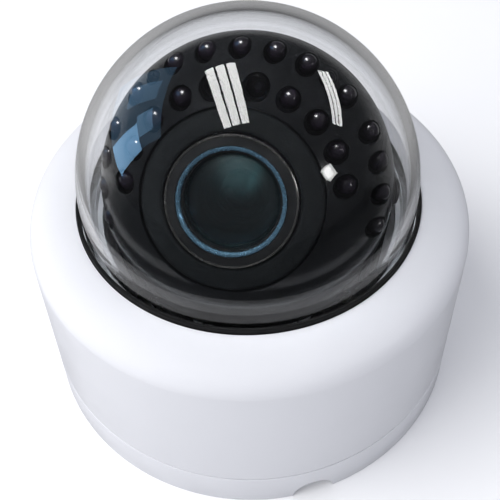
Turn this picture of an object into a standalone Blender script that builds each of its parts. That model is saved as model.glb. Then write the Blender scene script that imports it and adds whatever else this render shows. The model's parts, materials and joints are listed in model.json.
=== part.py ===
"""Dome CCTV camera, as it comes apart on a bench.

A round base screws to a ceiling. A push-fit cover carries the clear dome. Inside, a pan
table turns on the base, two arms on it hold the eyeball at its tilt axis, and the front
half of the eyeball turns about the lens axis to level the picture. Metres, +Z up, with
the origin at the centre of the base's mounting face and the dome on top.
"""

from math import asin, cos, pi, radians, sin, sqrt

import bmesh
import bpy
from mathutils import Matrix, Vector

MM = 0.001
GAP = 0.3 * MM

# Cover and base
BASE_R = 64.1 * MM
SEAM_R = 63.7 * MM
SEAM_Z = 13.3 * MM
CREASE_R = 62.5 * MM
CREASE_Z = 56.65 * MM
SHOULDER_R = 61.9 * MM
SHOULDER_Z = 64.1 * MM
SHOULDER_STEPS = 5
COVER_TOP_R = 48.3 * MM
COVER_TOP_Z = 64.6 * MM
COVER_WALL = 2.5 * MM
SEAT_Z = COVER_TOP_Z - 2.2 * MM
SEAT_R = 54.5 * MM
RIM_INNER_R = 61.1 * MM
FLOOR_Z = 6.5 * MM
FLOOR_TOP = 9.5 * MM
SPIGOT_R = 60.3 * MM
SPIGOT_INNER_R = 57.6 * MM
SPIGOT_TOP = 19.0 * MM
COVER_INNER_R = SPIGOT_R + 2 * GAP
GROOVE_R = 58.9 * MM
GROOVE_LOW = 15.6 * MM
GROOVE_HIGH = 17.6 * MM
SEAL_R = 59.75 * MM
SEAL_THICK = 0.7 * MM
NOTCH_R = 6.2 * MM
NOTCH_AZ = radians(285)

# Ceiling screws
MOUNT_AZ = [radians(angle) for angle in (30, 150, 270)]
MOUNT_R = 46.0 * MM
BOSS_R = 5.5 * MM
SLOT_WIDTH = 4.4 * MM
SLOT_LENGTH = 8.0 * MM

# Leaf springs that hold the cover: foot, bend and nose, as (radius, height over the foot)
CLIP_AZ = [radians(angle) for angle in (0, 120, 240)]
CLIP_WIDTH = 10.0 * MM
CLIP_THICK = 0.6 * MM
CLIP_Z = FLOOR_TOP + GAP + CLIP_THICK / 2
CLIP_LINE = ((48.0, 0), (56.0, 0), (56.6, 1.5), (56.6, 10.1), (60.0, 13.3), (57.4, 16.9))

# Connector board in the base
BOARD_Z = 13.0 * MM
BOARD_TOP = BOARD_Z + 1.6 * MM
BOARD_INNER_R = 43.5 * MM
BOARD_R = 56.4 * MM
BOARD_AZ = (radians(45), radians(108))
BOARD_STEPS = 8
BOARD_SCREW_R = 50.0 * MM
BOARD_SCREW_AZ = [radians(angle) for angle in (51, 102)]
STAND_R = 2.8 * MM
TERMINAL_SIZE = (12.0 * MM, 8.0 * MM, 7.5 * MM)
TERMINAL_AZ = radians(76)

# Small screws: head radius, head height and shank radius
SCREW_HEAD_R = 2.2 * MM
SCREW_HEAD_H = 1.5 * MM
SCREW_SHANK_R = 0.9 * MM
TAPPED_R = 1.2 * MM
CLEAR_R = 1.5 * MM

# Clear dome and what clamps it
DOME_R = 46.8 * MM
DOME_WALL = 2.5 * MM
DOME_Z = 70.0 * MM
DOME_STEPS = 6
FLANGE_R = 53.3 * MM
FLANGE_Z = 59.2 * MM
FLANGE_THICK = 1.8 * MM
GASKET_R = 48.0 * MM
GASKET_TOP = 66.2 * MM
CLAMP_INNER_R = 42.6 * MM
CLAMP_R = 58.6 * MM
CLAMP_Z = 57.0 * MM
CLAMP_THICK = 1.9 * MM
CLAMP_SCREW_R = 56.3 * MM
CLAMP_SCREW_AZ = [radians(angle) for angle in (45, 135, 225, 315)]
CLAMP_BOSS_R = 2.6 * MM
CLAMP_BOSS_TOP = 61.5 * MM

# Pan bearing
CABLE_HOLE_R = 8.0 * MM
HUB_INNER_R = 9.6 * MM
HUB_R = 15.0 * MM
HUB_TOP = 12.6 * MM
TABLE_R = 41.5 * MM
TABLE_THICK = 2.4 * MM
TABLE_Z = FLOOR_TOP + GAP
RETAINER_R = 20.0 * MM
RETAINER_THICK = 1.4 * MM
RETAINER_SCREW_R = 12.4 * MM

# Eyeball
BALL_Z = 68.9 * MM
BALL_R = 40.2 * MM
BALL_WALL = 2.0 * MM
REAR_WALL = 4.0 * MM
REAR_END = -24.0 * MM
SPLIT_H = 5.0 * MM
BORE_R = 33.4 * MM
SKIRT_WALL = 2.1 * MM
LEDGE_H = -3.6 * MM
FLAT_X = 37.4 * MM
LENS_OPENING_R = 22.3 * MM
PAN_AZ = radians(-8.6)
LENS_ELEVATION = radians(38)
LED_ROLL = radians(3.3)

# Tilt arms
ARM_X = 37.8 * MM
ARM_THICK = 2.4 * MM
ARM_TOP_W = 4.8 * MM
ARM_FOOT_W = 9.0 * MM
ARM_FOOT_X = 25.0 * MM
ARM_FOOT_THICK = 2.0 * MM
ARM_SCREW_X = 30.0 * MM
ARM_SCREW_Y = 4.6 * MM
ARM_SHOULDER_Z = 52.0 * MM
ARM_WIDE_Z = 44.0 * MM
TRUNNION_R = 2.0 * MM
TRUNNION_HEAD_R = 3.6 * MM
TRUNNION_END = 34.3 * MM

# Infrared LEDs, on two boards that face along the lens
OUTER_RING_R = 35.2 * MM
OUTER_BOARD = (28.6 * MM, 36.6 * MM)
OUTER_BOARD_H = 6.6 * MM
OUTER_LED_TOP = 17.4 * MM
OUTER_HOLE_R = 3.1 * MM
OUTER_ANGLES = (0, 14, 27.5, 47.5, 64.5, 77, 90, 103.5)
INNER_RING_R = 26.7 * MM
INNER_BOARD = (19.8 * MM, 30.6 * MM)
INNER_BOARD_H = 18.6 * MM
INNER_LED_TOP = 28.6 * MM
INNER_HOLE_R = 3.7 * MM
INNER_ANGLES = (28.3, 46.3, 64.3, 82.5)
WINDOW_ANGLE = 10.9
WINDOW_R = 3.2 * MM
WINDOW_WALL = 0.8 * MM
WINDOW_TOP = 27.6 * MM
SENSOR_R = 1.6 * MM
FRONT_SCREW_ANGLE = 37.5
FRONT_SEAT_H = 17.5 * MM
FRONT_HEAD_R = 1.8 * MM
BOARD_THICK = 1.4 * MM
LED_R = 2.5 * MM
LED_NOSE_SHARE = 0.55
LED_NOSE_RISE = 0.83

# Lens, along the eyeball's own axis from its centre
BARREL_R = 12.0 * MM
BARREL_TOP = 30.9 * MM
NOSE_R = 6.9 * MM
NOSE_END = -1.6 * MM
PUPIL_R = 4.0 * MM
THROAT_R = 9.5 * MM
RING_GAP = 0.4 * MM
ZOOM_LOW = 8.0 * MM
ZOOM_HIGH = 15.5 * MM
ZOOM_R = 15.6 * MM
FOCUS_LOW = 25.0 * MM
FOCUS_HIGH = 35.4 * MM
FOCUS_R = 16.0 * MM
GLASS_R = 11.4 * MM
GLASS_BEND_R = 30.0 * MM
PLATE_H = 1.0 * MM
PLATE_THICK = 1.5 * MM
HOLDER_SIDE = 30.0 * MM
SENSOR_BOARD_SIDE = 38.0 * MM
SENSOR_BOARD_TOP = -6.4 * MM
SENSOR_BOARD_THICK = 1.6 * MM
SENSOR_SCREW_OFFSET = 12.0 * MM
SENSOR_SIDE = 8.0 * MM
FILTER_SIDE = 11.2 * MM
FILTER_H = (-3.4 * MM, -2.8 * MM)
PLUG_SIZE = (12.0 * MM, 6.0 * MM, 4.0 * MM)
SEAL_H = 29.9 * MM
SEAL_OUTER_TOP = 32.8 * MM
SEAL_INNER_TOP = 34.4 * MM

FINE = 40
ROUND = 32
SMALL = 12
TINY = 8


# ---------------------------------------------------------------- tools


def clear_scene():
    for item in list(bpy.data.objects):
        bpy.data.objects.remove(item, do_unlink=True)


def new_collection(name):
    collection = bpy.data.collections.new(name)
    bpy.context.scene.collection.children.link(collection)
    return collection


def new_material(name, color, roughness, metallic=0.0, alpha=1.0):
    material = bpy.data.materials.new(name)
    material.use_nodes = True
    shader = material.node_tree.nodes["Principled BSDF"]
    shader.inputs["Base Color"].default_value = (*color, 1.0)
    shader.inputs["Roughness"].default_value = roughness
    shader.inputs["Metallic"].default_value = metallic
    shader.inputs["Alpha"].default_value = alpha
    return material


def new_axis(name, parent=None, place=(0, 0, 0), turn=(0, 0, 0)):
    axis = bpy.data.objects.new(name, None)
    PARTS.objects.link(axis)
    axis.parent = parent
    axis.location = place
    axis.rotation_euler = turn
    return axis


def add_object(name, mesh, material, parent, collection=None):
    item = bpy.data.objects.new(name, mesh)
    (collection or PARTS).objects.link(item)
    item.parent = parent
    if material:
        mesh.materials.append(material)
    mesh.shade_smooth()
    mesh.set_sharp_from_angle(angle=radians(35))
    return item


def mesh_from(name, bm):
    mesh = bpy.data.meshes.new(name)
    bm.to_mesh(mesh)
    bm.free()
    return mesh


def turned(name, profile, steps, material, parent=None, collection=None):
    """A closed profile of (radius, height), down its outer side first, turned about Z."""
    mesh = bpy.data.meshes.new(name)
    points = [(radius, 0, height) for radius, height in profile]
    edges = [(i, (i + 1) % len(points)) for i in range(len(points))]
    mesh.from_pydata(points, edges, [])
    item = add_object(name, mesh, material, parent, collection)
    screw = item.modifiers.new("Turn", "SCREW")
    screw.steps = steps
    screw.render_steps = steps
    screw.use_merge_vertices = True
    screw.merge_threshold = 0.00001
    screw.use_smooth_shade = True
    return item


def turned_from_axis(name, profile, steps, material, parent=None, collection=None):
    """The same for a profile that starts and ends on the axis, left open there."""
    item = turned(name, profile, steps, material, parent, collection)
    bm = bmesh.new()
    bm.from_mesh(item.data)
    bm.edges.ensure_lookup_table()
    on_axis = [edge for edge in bm.edges if all(abs(v.co.x) < 1e-7 for v in edge.verts)]
    bmesh.ops.delete(bm, geom=on_axis, context="EDGES_FACES")
    bm.to_mesh(item.data)
    bm.free()
    return item


def arc(radius, low, high, steps, centre=0.0):
    """Points on a circle about the axis, from height low to height high, ends included."""
    first = asin((low - centre) / radius)
    last = asin((high - centre) / radius)
    angles = [first + (last - first) * i / steps for i in range(steps + 1)]
    return [(radius * cos(angle), centre + radius * sin(angle)) for angle in angles]


def add_rod(bm, place, radius, low, high, sides, top_radius=None):
    """A round rod along Z between two heights, at place's x and y."""
    middle = Matrix.Translation((place[0], place[1], (low + high) / 2))
    bmesh.ops.create_cone(
        bm,
        cap_ends=True,
        segments=sides,
        radius1=radius,
        radius2=radius if top_radius is None else top_radius,
        depth=high - low,
        matrix=middle,
    )


def add_box(bm, low, high):
    size = [b - a for a, b in zip(low, high)]
    middle = [(a + b) / 2 for a, b in zip(low, high)]
    matrix = Matrix.Translation(middle) @ Matrix.Diagonal((*size, 1))
    bmesh.ops.create_cube(bm, size=1, matrix=matrix)


def rods(name, places, radius, low, high, sides=SMALL, parent=None):
    """One helper mesh of several separate rods, for cutting holes or adding bosses."""
    bm = bmesh.new()
    for place in places:
        add_rod(bm, place, radius, low, high, sides)
    return helper(name, bm, parent)


def box(name, low, high, parent=None):
    bm = bmesh.new()
    add_box(bm, low, high)
    return helper(name, bm, parent)


def helper(name, bm, parent=None):
    item = add_object(name, mesh_from(name, bm), None, parent, CUTTERS)
    item.hide_render = True
    item.display_type = "WIRE"
    return item


def combine(item, tool, operation):
    modifier = item.modifiers.new(tool.name, "BOOLEAN")
    modifier.operation = operation
    modifier.object = tool
    modifier.solver = "EXACT"


def cut(item, *tools):
    for tool in tools:
        combine(item, tool, "DIFFERENCE")


def join(item, *tools):
    for tool in tools:
        combine(item, tool, "UNION")


def add_block(name, low, high, material, parent):
    bm = bmesh.new()
    add_box(bm, low, high)
    return add_object(name, mesh_from(name, bm), material, parent)


def plate(name, outline, low, high, material, parent=None, collection=None):
    """A flat outline in X and Y, made a closed solid from height low to high."""
    curve = bpy.data.curves.new(name, "CURVE")
    curve.dimensions = "2D"
    curve.fill_mode = "BOTH"
    curve.extrude = (high - low) / 2
    spline = curve.splines.new("POLY")
    spline.points.add(len(outline) - 1)
    for point, (x, y) in zip(spline.points, outline):
        point.co = (x, y, 0, 1)
    spline.use_cyclic_u = True
    drawn = bpy.data.objects.new(name + "_outline", curve)
    CUTTERS.objects.link(drawn)
    graph = bpy.context.evaluated_depsgraph_get()
    graph.update()
    mesh = bpy.data.meshes.new_from_object(drawn.evaluated_get(graph))
    bpy.data.objects.remove(drawn, do_unlink=True)
    bm = bmesh.new()
    bm.from_mesh(mesh)
    bmesh.ops.remove_doubles(bm, verts=bm.verts, dist=0.00001)
    bmesh.ops.recalc_face_normals(bm, faces=bm.faces)
    bmesh.ops.translate(bm, verts=bm.verts, vec=(0, 0, (low + high) / 2))
    bm.to_mesh(mesh)
    bm.free()
    return add_object(name, mesh, material, parent, collection)


def polar(radius, angle):
    return (radius * cos(angle), radius * sin(angle))


def around(radius, count, start=0.0):
    return [polar(radius, start + 2 * pi * i / count) for i in range(count)]


def clock(radius, degrees):
    """A place on the eyeball's face, by its angle from the top."""
    return polar(radius, pi / 2 - radians(degrees))


def mirrored(angles):
    """Each angle on both sides of the top, and an angle of 0 once."""
    return [angle * side for angle in angles for side in ((1, -1) if angle else (1,))]


def screw(
    name,
    place,
    seat,
    end,
    parent=None,
    material=None,
    head_r=SCREW_HEAD_R,
    shank_r=SCREW_SHANK_R,
):
    """A pan-head screw along Z: its head stands on seat and its shank reaches end."""
    head_h = SCREW_HEAD_H
    up = 1 if seat > end else -1
    head_top = seat + up * head_h
    profile = [
        (0, head_top),
        (head_r * 0.75, head_top),
        (head_r, seat + up * head_h * 0.55),
        (head_r, seat),
        (shank_r, seat),
        (shank_r, end),
        (0, end),
    ]
    if up < 0:
        profile = profile[::-1]
    item = turned_from_axis(name, profile, TINY, material or STEEL, parent)
    item.location = (*place, 0)
    slot_ends = sorted((head_top + up * MM, head_top - up * head_h * 0.4))
    half_length, half_width = head_r * 0.6, head_r * 0.13
    drive = box(
        name + "_slot",
        (-half_length, -half_width, slot_ends[0]),
        (half_length, half_width, slot_ends[1]),
        parent,
    )
    drive.location = (*place, 0)
    cut(item, drive)
    return item


# ---------------------------------------------------------------- base


def base_profile():
    return [
        (SPIGOT_R, SPIGOT_TOP),
        (SPIGOT_R, GROOVE_HIGH),
        (GROOVE_R, GROOVE_HIGH),
        (GROOVE_R, GROOVE_LOW),
        (SPIGOT_R, GROOVE_LOW),
        (SPIGOT_R, SEAM_Z - GAP),
        (SEAM_R, SEAM_Z - GAP),
        (BASE_R, 0),
        (RIM_INNER_R, 0),
        (RIM_INNER_R, FLOOR_Z),
        (CABLE_HOLE_R, FLOOR_Z),
        (CABLE_HOLE_R, FLOOR_TOP),
        (HUB_INNER_R, FLOOR_TOP),
        (HUB_INNER_R, HUB_TOP),
        (HUB_R, HUB_TOP),
        (HUB_R, FLOOR_TOP),
        (SPIGOT_INNER_R, FLOOR_TOP),
        (SPIGOT_INNER_R, SPIGOT_TOP),
    ]


def slot_cutter(name, angle):
    reach = (SLOT_LENGTH - SLOT_WIDTH) / 2
    outline = []
    for side in (1, -1):
        for step in range(7):
            turn = pi * step / 6 + (0 if side > 0 else pi)
            x, y = polar(SLOT_WIDTH / 2, turn)
            outline.append((x, y + side * reach))
    item = plate(name, outline, -MM, FLOOR_TOP + MM, None, None, CUTTERS)
    item.hide_render = True
    item.display_type = "WIRE"
    item.location = (*polar(MOUNT_R, angle), 0)
    item.rotation_euler = (0, 0, angle)
    return item


def make_base():
    base = turned("base", base_profile(), FINE, METAL_WHITE)
    mount_places = [polar(MOUNT_R, angle) for angle in MOUNT_AZ]
    bosses = rods("mount_bosses", mount_places, BOSS_R, 0, FLOOR_Z + MM)
    stand_tops = rods("board_stands", BOARD_SCREWS, STAND_R, FLOOR_TOP - MM, BOARD_Z - GAP)
    join(base, bosses, stand_tops)
    notch = rods("notch_cutter", [(0, 0)], NOTCH_R, 55 * MM, 70 * MM, 24)
    notch.rotation_euler = (0, pi / 2, NOTCH_AZ)
    slots = [slot_cutter(f"mount_slot_{i + 1}", a) for i, a in enumerate(MOUNT_AZ)]
    hub_holes = rods(
        "hub_holes", RETAINER_SCREWS, TAPPED_R, FLOOR_TOP + GAP, HUB_TOP + MM, TINY
    )
    stand_holes = rods("stand_holes", BOARD_SCREWS, TAPPED_R, FLOOR_TOP + GAP, BOARD_TOP, TINY)
    cut(base, notch, *slots, hub_holes, stand_holes)


def make_seal_ring():
    centre_z = (GROOVE_LOW + GROOVE_HIGH) / 2
    angles = [2 * pi * i / 6 + 0.1 for i in range(6)]
    profile = [
        (SEAL_R + SEAL_THICK * cos(angle), centre_z - SEAL_THICK * sin(angle))
        for angle in angles
    ]
    turned("seal_ring", profile, FINE, RUBBER)


def make_cable_grommet():
    neck_r = CABLE_HOLE_R - GAP
    flange_r = CABLE_HOLE_R + 2.5 * MM
    bore = 3.2 * MM
    low, high = FLOOR_Z - 1.5 * MM, FLOOR_TOP + 1.6 * MM
    profile = [
        (HUB_INNER_R - GAP, high),
        (HUB_INNER_R - GAP, FLOOR_TOP + GAP),
        (neck_r, FLOOR_TOP + GAP),
        (neck_r, FLOOR_Z - GAP),
        (flange_r, FLOOR_Z - GAP),
        (flange_r, low),
        (bore, low),
        (bore, high),
    ]
    turned("cable_grommet", profile, 24, RUBBER)


def make_cover_clips():
    """Leaf springs that press outwards on the cover, just above the spigot."""
    line = [(radius * MM, CLIP_Z + height * MM) for radius, height in CLIP_LINE]
    for number, angle in enumerate(CLIP_AZ):
        bm = bmesh.new()
        rows = [
            [bm.verts.new((x, side * CLIP_WIDTH / 2, z)) for side in (-1, 1)] for x, z in line
        ]
        for first, second in zip(rows, rows[1:]):
            bm.faces.new((first[0], second[0], second[1], first[1]))
        name = f"cover_clip_{number + 1}"
        clip = add_object(name, mesh_from(name, bm), SPRING_STEEL, None)
        clip.rotation_euler = (0, 0, angle)
        shell = clip.modifiers.new("Thickness", "SOLIDIFY")
        shell.thickness = CLIP_THICK
        shell.offset = 0


def make_main_board():
    first, last = BOARD_AZ
    angles = [first + (last - first) * i / BOARD_STEPS for i in range(BOARD_STEPS + 1)]
    outline = [polar(BOARD_R, angle) for angle in angles]
    outline += [polar(BOARD_INNER_R, angle) for angle in reversed(angles)]
    board = plate("main_board", outline, BOARD_Z, BOARD_TOP, BOARD_GREEN)
    low, high = BOARD_Z - MM, BOARD_TOP + MM
    cut(board, rods("main_board_holes", BOARD_SCREWS, CLEAR_R, low, high, TINY))
    length, width, height = TERMINAL_SIZE
    seat = BOARD_TOP + GAP
    terminal = add_block(
        "terminal_block",
        (-length / 2, -width / 2, seat),
        (length / 2, width / 2, seat + height),
        TERMINAL_GREEN,
        None,
    )
    terminal.location = (*polar(BOARD_SCREW_R, TERMINAL_AZ), 0)
    terminal.rotation_euler = (0, 0, TERMINAL_AZ - pi / 2)
    for number, place in enumerate(BOARD_SCREWS):
        screw(f"board_screw_{number + 1}", place, seat, FLOOR_TOP + MM / 2)


# ---------------------------------------------------------------- cover and dome


def shoulder(t, inset=0.0):
    """The cover's rounded shoulder: a quadratic curve from the crease to the dome."""
    start = Vector((CREASE_R, CREASE_Z))
    bend = Vector((SHOULDER_R, SHOULDER_Z))
    end = Vector((COVER_TOP_R, COVER_TOP_Z))
    point = (1 - t) ** 2 * start + 2 * t * (1 - t) * bend + t * t * end
    slope = 2 * (1 - t) * (bend - start) + 2 * t * (end - bend)
    inward = Vector((-slope.y, slope.x)).normalized()
    return point + inward * inset


def make_cover():
    steps = [i / SHOULDER_STEPS for i in range(SHOULDER_STEPS + 1)]
    outside = [tuple(shoulder(t)) for t in reversed(steps)]
    inside = [tuple(shoulder(t, COVER_WALL)) for t in steps if t < 0.45]
    skirt = [(SEAM_R, SEAM_Z), (COVER_INNER_R, SEAM_Z), (COVER_INNER_R, SPIGOT_TOP + MM)]
    seat = [(SEAT_R, SEAT_Z), (COVER_TOP_R, SEAT_Z)]
    cover = turned("cover", outside + skirt + inside + seat, FINE, PLASTIC_WHITE)
    low = CLAMP_Z + CLAMP_THICK + GAP
    join(cover, rods("clamp_bosses", CLAMP_SCREWS, CLAMP_BOSS_R, low, CLAMP_BOSS_TOP))
    hole_top = CLAMP_BOSS_TOP - GAP
    cut(cover, rods("clamp_boss_holes", CLAMP_SCREWS, TAPPED_R, low - MM, hole_top, TINY))


def make_dome():
    inner = DOME_R - DOME_WALL
    top = arc(DOME_R, DOME_Z, DOME_Z + DOME_R * 0.99999, DOME_STEPS, DOME_Z)
    under = arc(inner, DOME_Z, DOME_Z + inner * 0.99999, DOME_STEPS, DOME_Z)
    profile = (
        [(0, DOME_Z + DOME_R)]
        + top[::-1][1:]
        + [
            (DOME_R, FLANGE_Z + FLANGE_THICK),
            (FLANGE_R, FLANGE_Z + FLANGE_THICK),
            (FLANGE_R, FLANGE_Z),
            (inner, FLANGE_Z),
        ]
        + under[:-1]
        + [(0, DOME_Z + inner)]
    )
    turned_from_axis("dome", profile, ROUND, CLEAR)


def make_dome_gasket():
    seat = SEAT_Z - GAP
    low = FLANGE_Z + FLANGE_THICK + GAP
    profile = [
        (GASKET_R - GAP, GASKET_TOP),
        (GASKET_R, GASKET_TOP - GAP),
        (GASKET_R, seat),
        (FLANGE_R, seat),
        (FLANGE_R, low),
        (DOME_R + GAP, low),
        (DOME_R + GAP, GASKET_TOP),
    ]
    turned("dome_gasket", profile, ROUND, RUBBER)


def make_dome_clamp():
    high = CLAMP_Z + CLAMP_THICK
    profile = [(CLAMP_R, high), (CLAMP_R, CLAMP_Z), (CLAMP_INNER_R, CLAMP_Z), (CLAMP_INNER_R, high)]
    clamp = turned("dome_clamp", profile, ROUND, PLASTIC_WHITE)
    cut(clamp, rods("clamp_holes", CLAMP_SCREWS, CLEAR_R, CLAMP_Z - MM, high + MM, TINY))
    for number, place in enumerate(CLAMP_SCREWS):
        screw(f"clamp_screw_{number + 1}", place, CLAMP_Z - GAP, CLAMP_BOSS_TOP - 2 * GAP)


# ---------------------------------------------------------------- pan table and arms


def make_pan_bearing():
    low, high = TABLE_Z, TABLE_Z + TABLE_THICK
    bore = HUB_R + RING_GAP
    profile = [(TABLE_R, high), (TABLE_R, low), (bore, low), (bore, high)]
    table = turned("pan_table", profile, ROUND, PLASTIC_BLACK, PAN)
    cut(table, rods("table_holes", ARM_SCREWS, CLEAR_R, low - MM, high + MM, TINY, PAN))
    ring_low = HUB_TOP + GAP
    ring_high = ring_low + RETAINER_THICK
    ring = [
        (RETAINER_R, ring_high),
        (RETAINER_R, ring_low),
        (HUB_INNER_R + GAP, ring_low),
        (HUB_INNER_R + GAP, ring_high),
    ]
    retainer = turned("pan_retainer", ring, ROUND, STEEL)
    holes = rods("retainer_holes", RETAINER_SCREWS, CLEAR_R, HUB_TOP, ring_high + MM, TINY)
    cut(retainer, holes)
    for number, place in enumerate(RETAINER_SCREWS):
        screw(f"retainer_screw_{number + 1}", place, ring_high + GAP, FLOOR_TOP + MM)


def arm_outline(base_z):
    """The upright plate, drawn flat: narrow and round at the tilt axis, wider below."""
    top = [
        (ARM_TOP_W * cos(pi * i / 8), BALL_Z + ARM_TOP_W * sin(pi * i / 8)) for i in range(9)
    ]
    right = [(ARM_FOOT_W, base_z), (ARM_FOOT_W, ARM_WIDE_Z), (ARM_TOP_W, ARM_SHOULDER_Z)]
    left = [(-across, height) for across, height in reversed(right)]
    return top + left + right


def make_tilt_arm(side, name):
    foot_low = TABLE_Z + TABLE_THICK + GAP
    foot_high = foot_low + ARM_FOOT_THICK
    arm = plate(name, arm_outline(foot_low), ARM_X, ARM_X + ARM_THICK, PLASTIC_BLACK)
    arm.data.transform(Matrix(((0, 0, 1, 0), (1, 0, 0, 0), (0, 1, 0, 0), (0, 0, 0, 1))))
    foot = box(
        name + "_foot",
        (ARM_FOOT_X, -ARM_FOOT_W, foot_low),
        (ARM_X + ARM_THICK / 2, ARM_FOOT_W, foot_high),
    )
    join(arm, foot)
    holes = [(ARM_SCREW_X, y * ARM_SCREW_Y) for y in (1, -1)]
    foot_holes = rods(name + "_holes", holes, CLEAR_R, foot_low - MM, foot_high + MM, TINY)
    pivot_ends = (ARM_X - MM, ARM_X + ARM_THICK + MM)
    pivot = rods(name + "_pivot", [(0, 0)], TRUNNION_R + GAP, *pivot_ends)
    pivot.location = (0, 0, BALL_Z)
    pivot.rotation_euler = (0, pi / 2, 0)
    cut(arm, foot_holes, pivot)
    for item in (arm, foot, foot_holes):
        item.parent = PAN
        item.rotation_euler = (0, 0, 0 if side > 0 else pi)
    pivot.parent = PAN
    if side < 0:
        pivot.rotation_euler = (0, -pi / 2, 0)


def make_arm_screws():
    seat = TABLE_Z + TABLE_THICK + GAP + ARM_FOOT_THICK + GAP
    for number, place in enumerate(ARM_SCREWS):
        name = f"arm_screw_{number + 1}"
        screw(name, place, seat, TABLE_Z + GAP, PAN)


# ---------------------------------------------------------------- eyeball


def make_eyeball_rear():
    inner_r = BALL_R - REAR_WALL
    outside = arc(BALL_R, REAR_END, SPLIT_H, 5)[::-1]
    inside = arc(inner_r, REAR_END, LEDGE_H, 3)
    profile = outside + inside + [(BORE_R, LEDGE_H), (BORE_R, SPLIT_H)]
    rear = turned("eyeball_rear", profile, ROUND, BALL_BLACK, TILT)
    reach = BALL_R * 0.75
    for side, name in ((1, "right"), (-1, "left")):
        near, far = sorted((side * FLAT_X, side * (BALL_R + MM)))
        flat = box(f"flat_{name}", (near, -reach, -reach), (far, reach, reach), TILT)
        hole = rods(f"pivot_hole_{name}", [(0, 0)], TRUNNION_R + GAP, BORE_R - MM, FLAT_X + MM)
        hole.parent = TILT
        hole.rotation_euler = (0, side * pi / 2, 0)
        cut(rear, flat, hole)


def make_tilt_screws():
    for side, name in ((1, "right"), (-1, "left")):
        item = screw(
            f"tilt_screw_{name}",
            (0, 0),
            ARM_X + ARM_THICK + GAP,
            TRUNNION_END,
            TILT,
            STEEL_BLACK,
            TRUNNION_HEAD_R,
            TRUNNION_R,
        )
        turn = (0, side * pi / 2, 0)
        item.rotation_euler = turn
        bpy.data.objects[f"tilt_screw_{name}_slot"].rotation_euler = turn


def make_eyeball_front():
    inner_r = BALL_R - BALL_WALL
    rim = SPLIT_H + GAP
    opening_h = sqrt(BALL_R**2 - LENS_OPENING_R**2)
    opening_inner_h = sqrt(inner_r**2 - LENS_OPENING_R**2)
    skirt_r = BORE_R - GAP
    outside = arc(BALL_R, rim, opening_h, 6)[::-1]
    skirt = [
        (skirt_r, rim),
        (skirt_r, LEDGE_H - 0.2 * MM),
        (skirt_r - SKIRT_WALL, LEDGE_H - 0.2 * MM),
        (skirt_r - SKIRT_WALL, rim + MM),
    ]
    inside = arc(inner_r, rim + MM, opening_inner_h, 4)
    front = turned("eyeball_front", outside + skirt + inside, FINE, BALL_BLACK, ROLL)
    outer = [clock(OUTER_RING_R, angle) for angle in mirrored(OUTER_ANGLES)]
    inner = [clock(INNER_RING_R, angle) for angle in mirrored(INNER_ANGLES)]
    windows = [clock(INNER_RING_R, angle) for angle in mirrored([WINDOW_ANGLE])]
    screws = [clock(OUTER_RING_R, angle) for angle in mirrored([FRONT_SCREW_ANGLE])]
    top = BALL_R + MM
    outer_low = OUTER_BOARD_H + BOARD_THICK / 2 - GAP / 2
    inner_low = INNER_BOARD_H - 2 * MM
    screw_low = OUTER_BOARD_H + BOARD_THICK + MM
    cut(
        front,
        rods("outer_led_holes", outer, OUTER_HOLE_R, outer_low, top, TINY, ROLL),
        rods("inner_led_holes", inner, INNER_HOLE_R, inner_low, top, TINY, ROLL),
        rods("window_holes", windows, WINDOW_R + GAP, inner_low, top, SMALL, ROLL),
        rods("front_screw_holes", screws, TAPPED_R, screw_low, top, TINY, ROLL),
        rods("front_screw_seats", screws, FRONT_HEAD_R + RING_GAP, FRONT_SEAT_H, top, TINY, ROLL),
    )
    for place, side in zip(screws, ("right", "left")):
        screw(
            f"front_screw_{side}",
            place,
            FRONT_SEAT_H + GAP,
            screw_low - GAP,
            ROLL,
            STEEL_BLACK,
            FRONT_HEAD_R,
        )


def add_led(bm, place, low, top):
    """An LED's body with a blunt nose, as one closed solid."""
    nose_low = top - LED_R
    start = len(bm.verts)
    add_rod(bm, place, LED_R, low, nose_low, TINY)
    bm.verts.ensure_lookup_table()
    rim = [vert for vert in bm.verts[start:] if abs(vert.co.z - nose_low) < 1e-7]
    cap = [face for face in bm.faces if all(vert in rim for vert in face.verts)]
    raised = bmesh.ops.extrude_discrete_faces(bm, faces=cap)["faces"]
    centre = Vector((*place, 0))
    for vert in {vert for face in raised for vert in face.verts}:
        outward = Vector((vert.co.x - place[0], vert.co.y - place[1], 0)).normalized()
        vert.co = centre + outward * LED_R * LED_NOSE_SHARE
        vert.co.z = nose_low + LED_R * LED_NOSE_RISE


def led_board(name, ring_r, radii, board_h, led_top, angles):
    """A ring board with its LEDs soldered on, as one piece."""
    inner_r, outer_r = radii
    high = board_h + BOARD_THICK
    profile = [(outer_r, high), (outer_r, board_h), (inner_r, board_h), (inner_r, high)]
    board = turned(name, profile, ROUND, LED_DARK, ROLL)
    bm = bmesh.new()
    for angle in mirrored(angles):
        add_led(bm, clock(ring_r, angle), board_h + BOARD_THICK / 2, led_top)
    bmesh.ops.remove_doubles(bm, verts=bm.verts, dist=0.000001)
    join(board, helper(name + "_leds", bm, ROLL))


def make_led_boards():
    outer = (OUTER_RING_R, OUTER_BOARD, OUTER_BOARD_H, OUTER_LED_TOP, OUTER_ANGLES)
    inner = (INNER_RING_R, INNER_BOARD, INNER_BOARD_H, INNER_LED_TOP, INNER_ANGLES)
    led_board("ir_board_outer", *outer)
    led_board("ir_board_inner", *inner)


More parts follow.
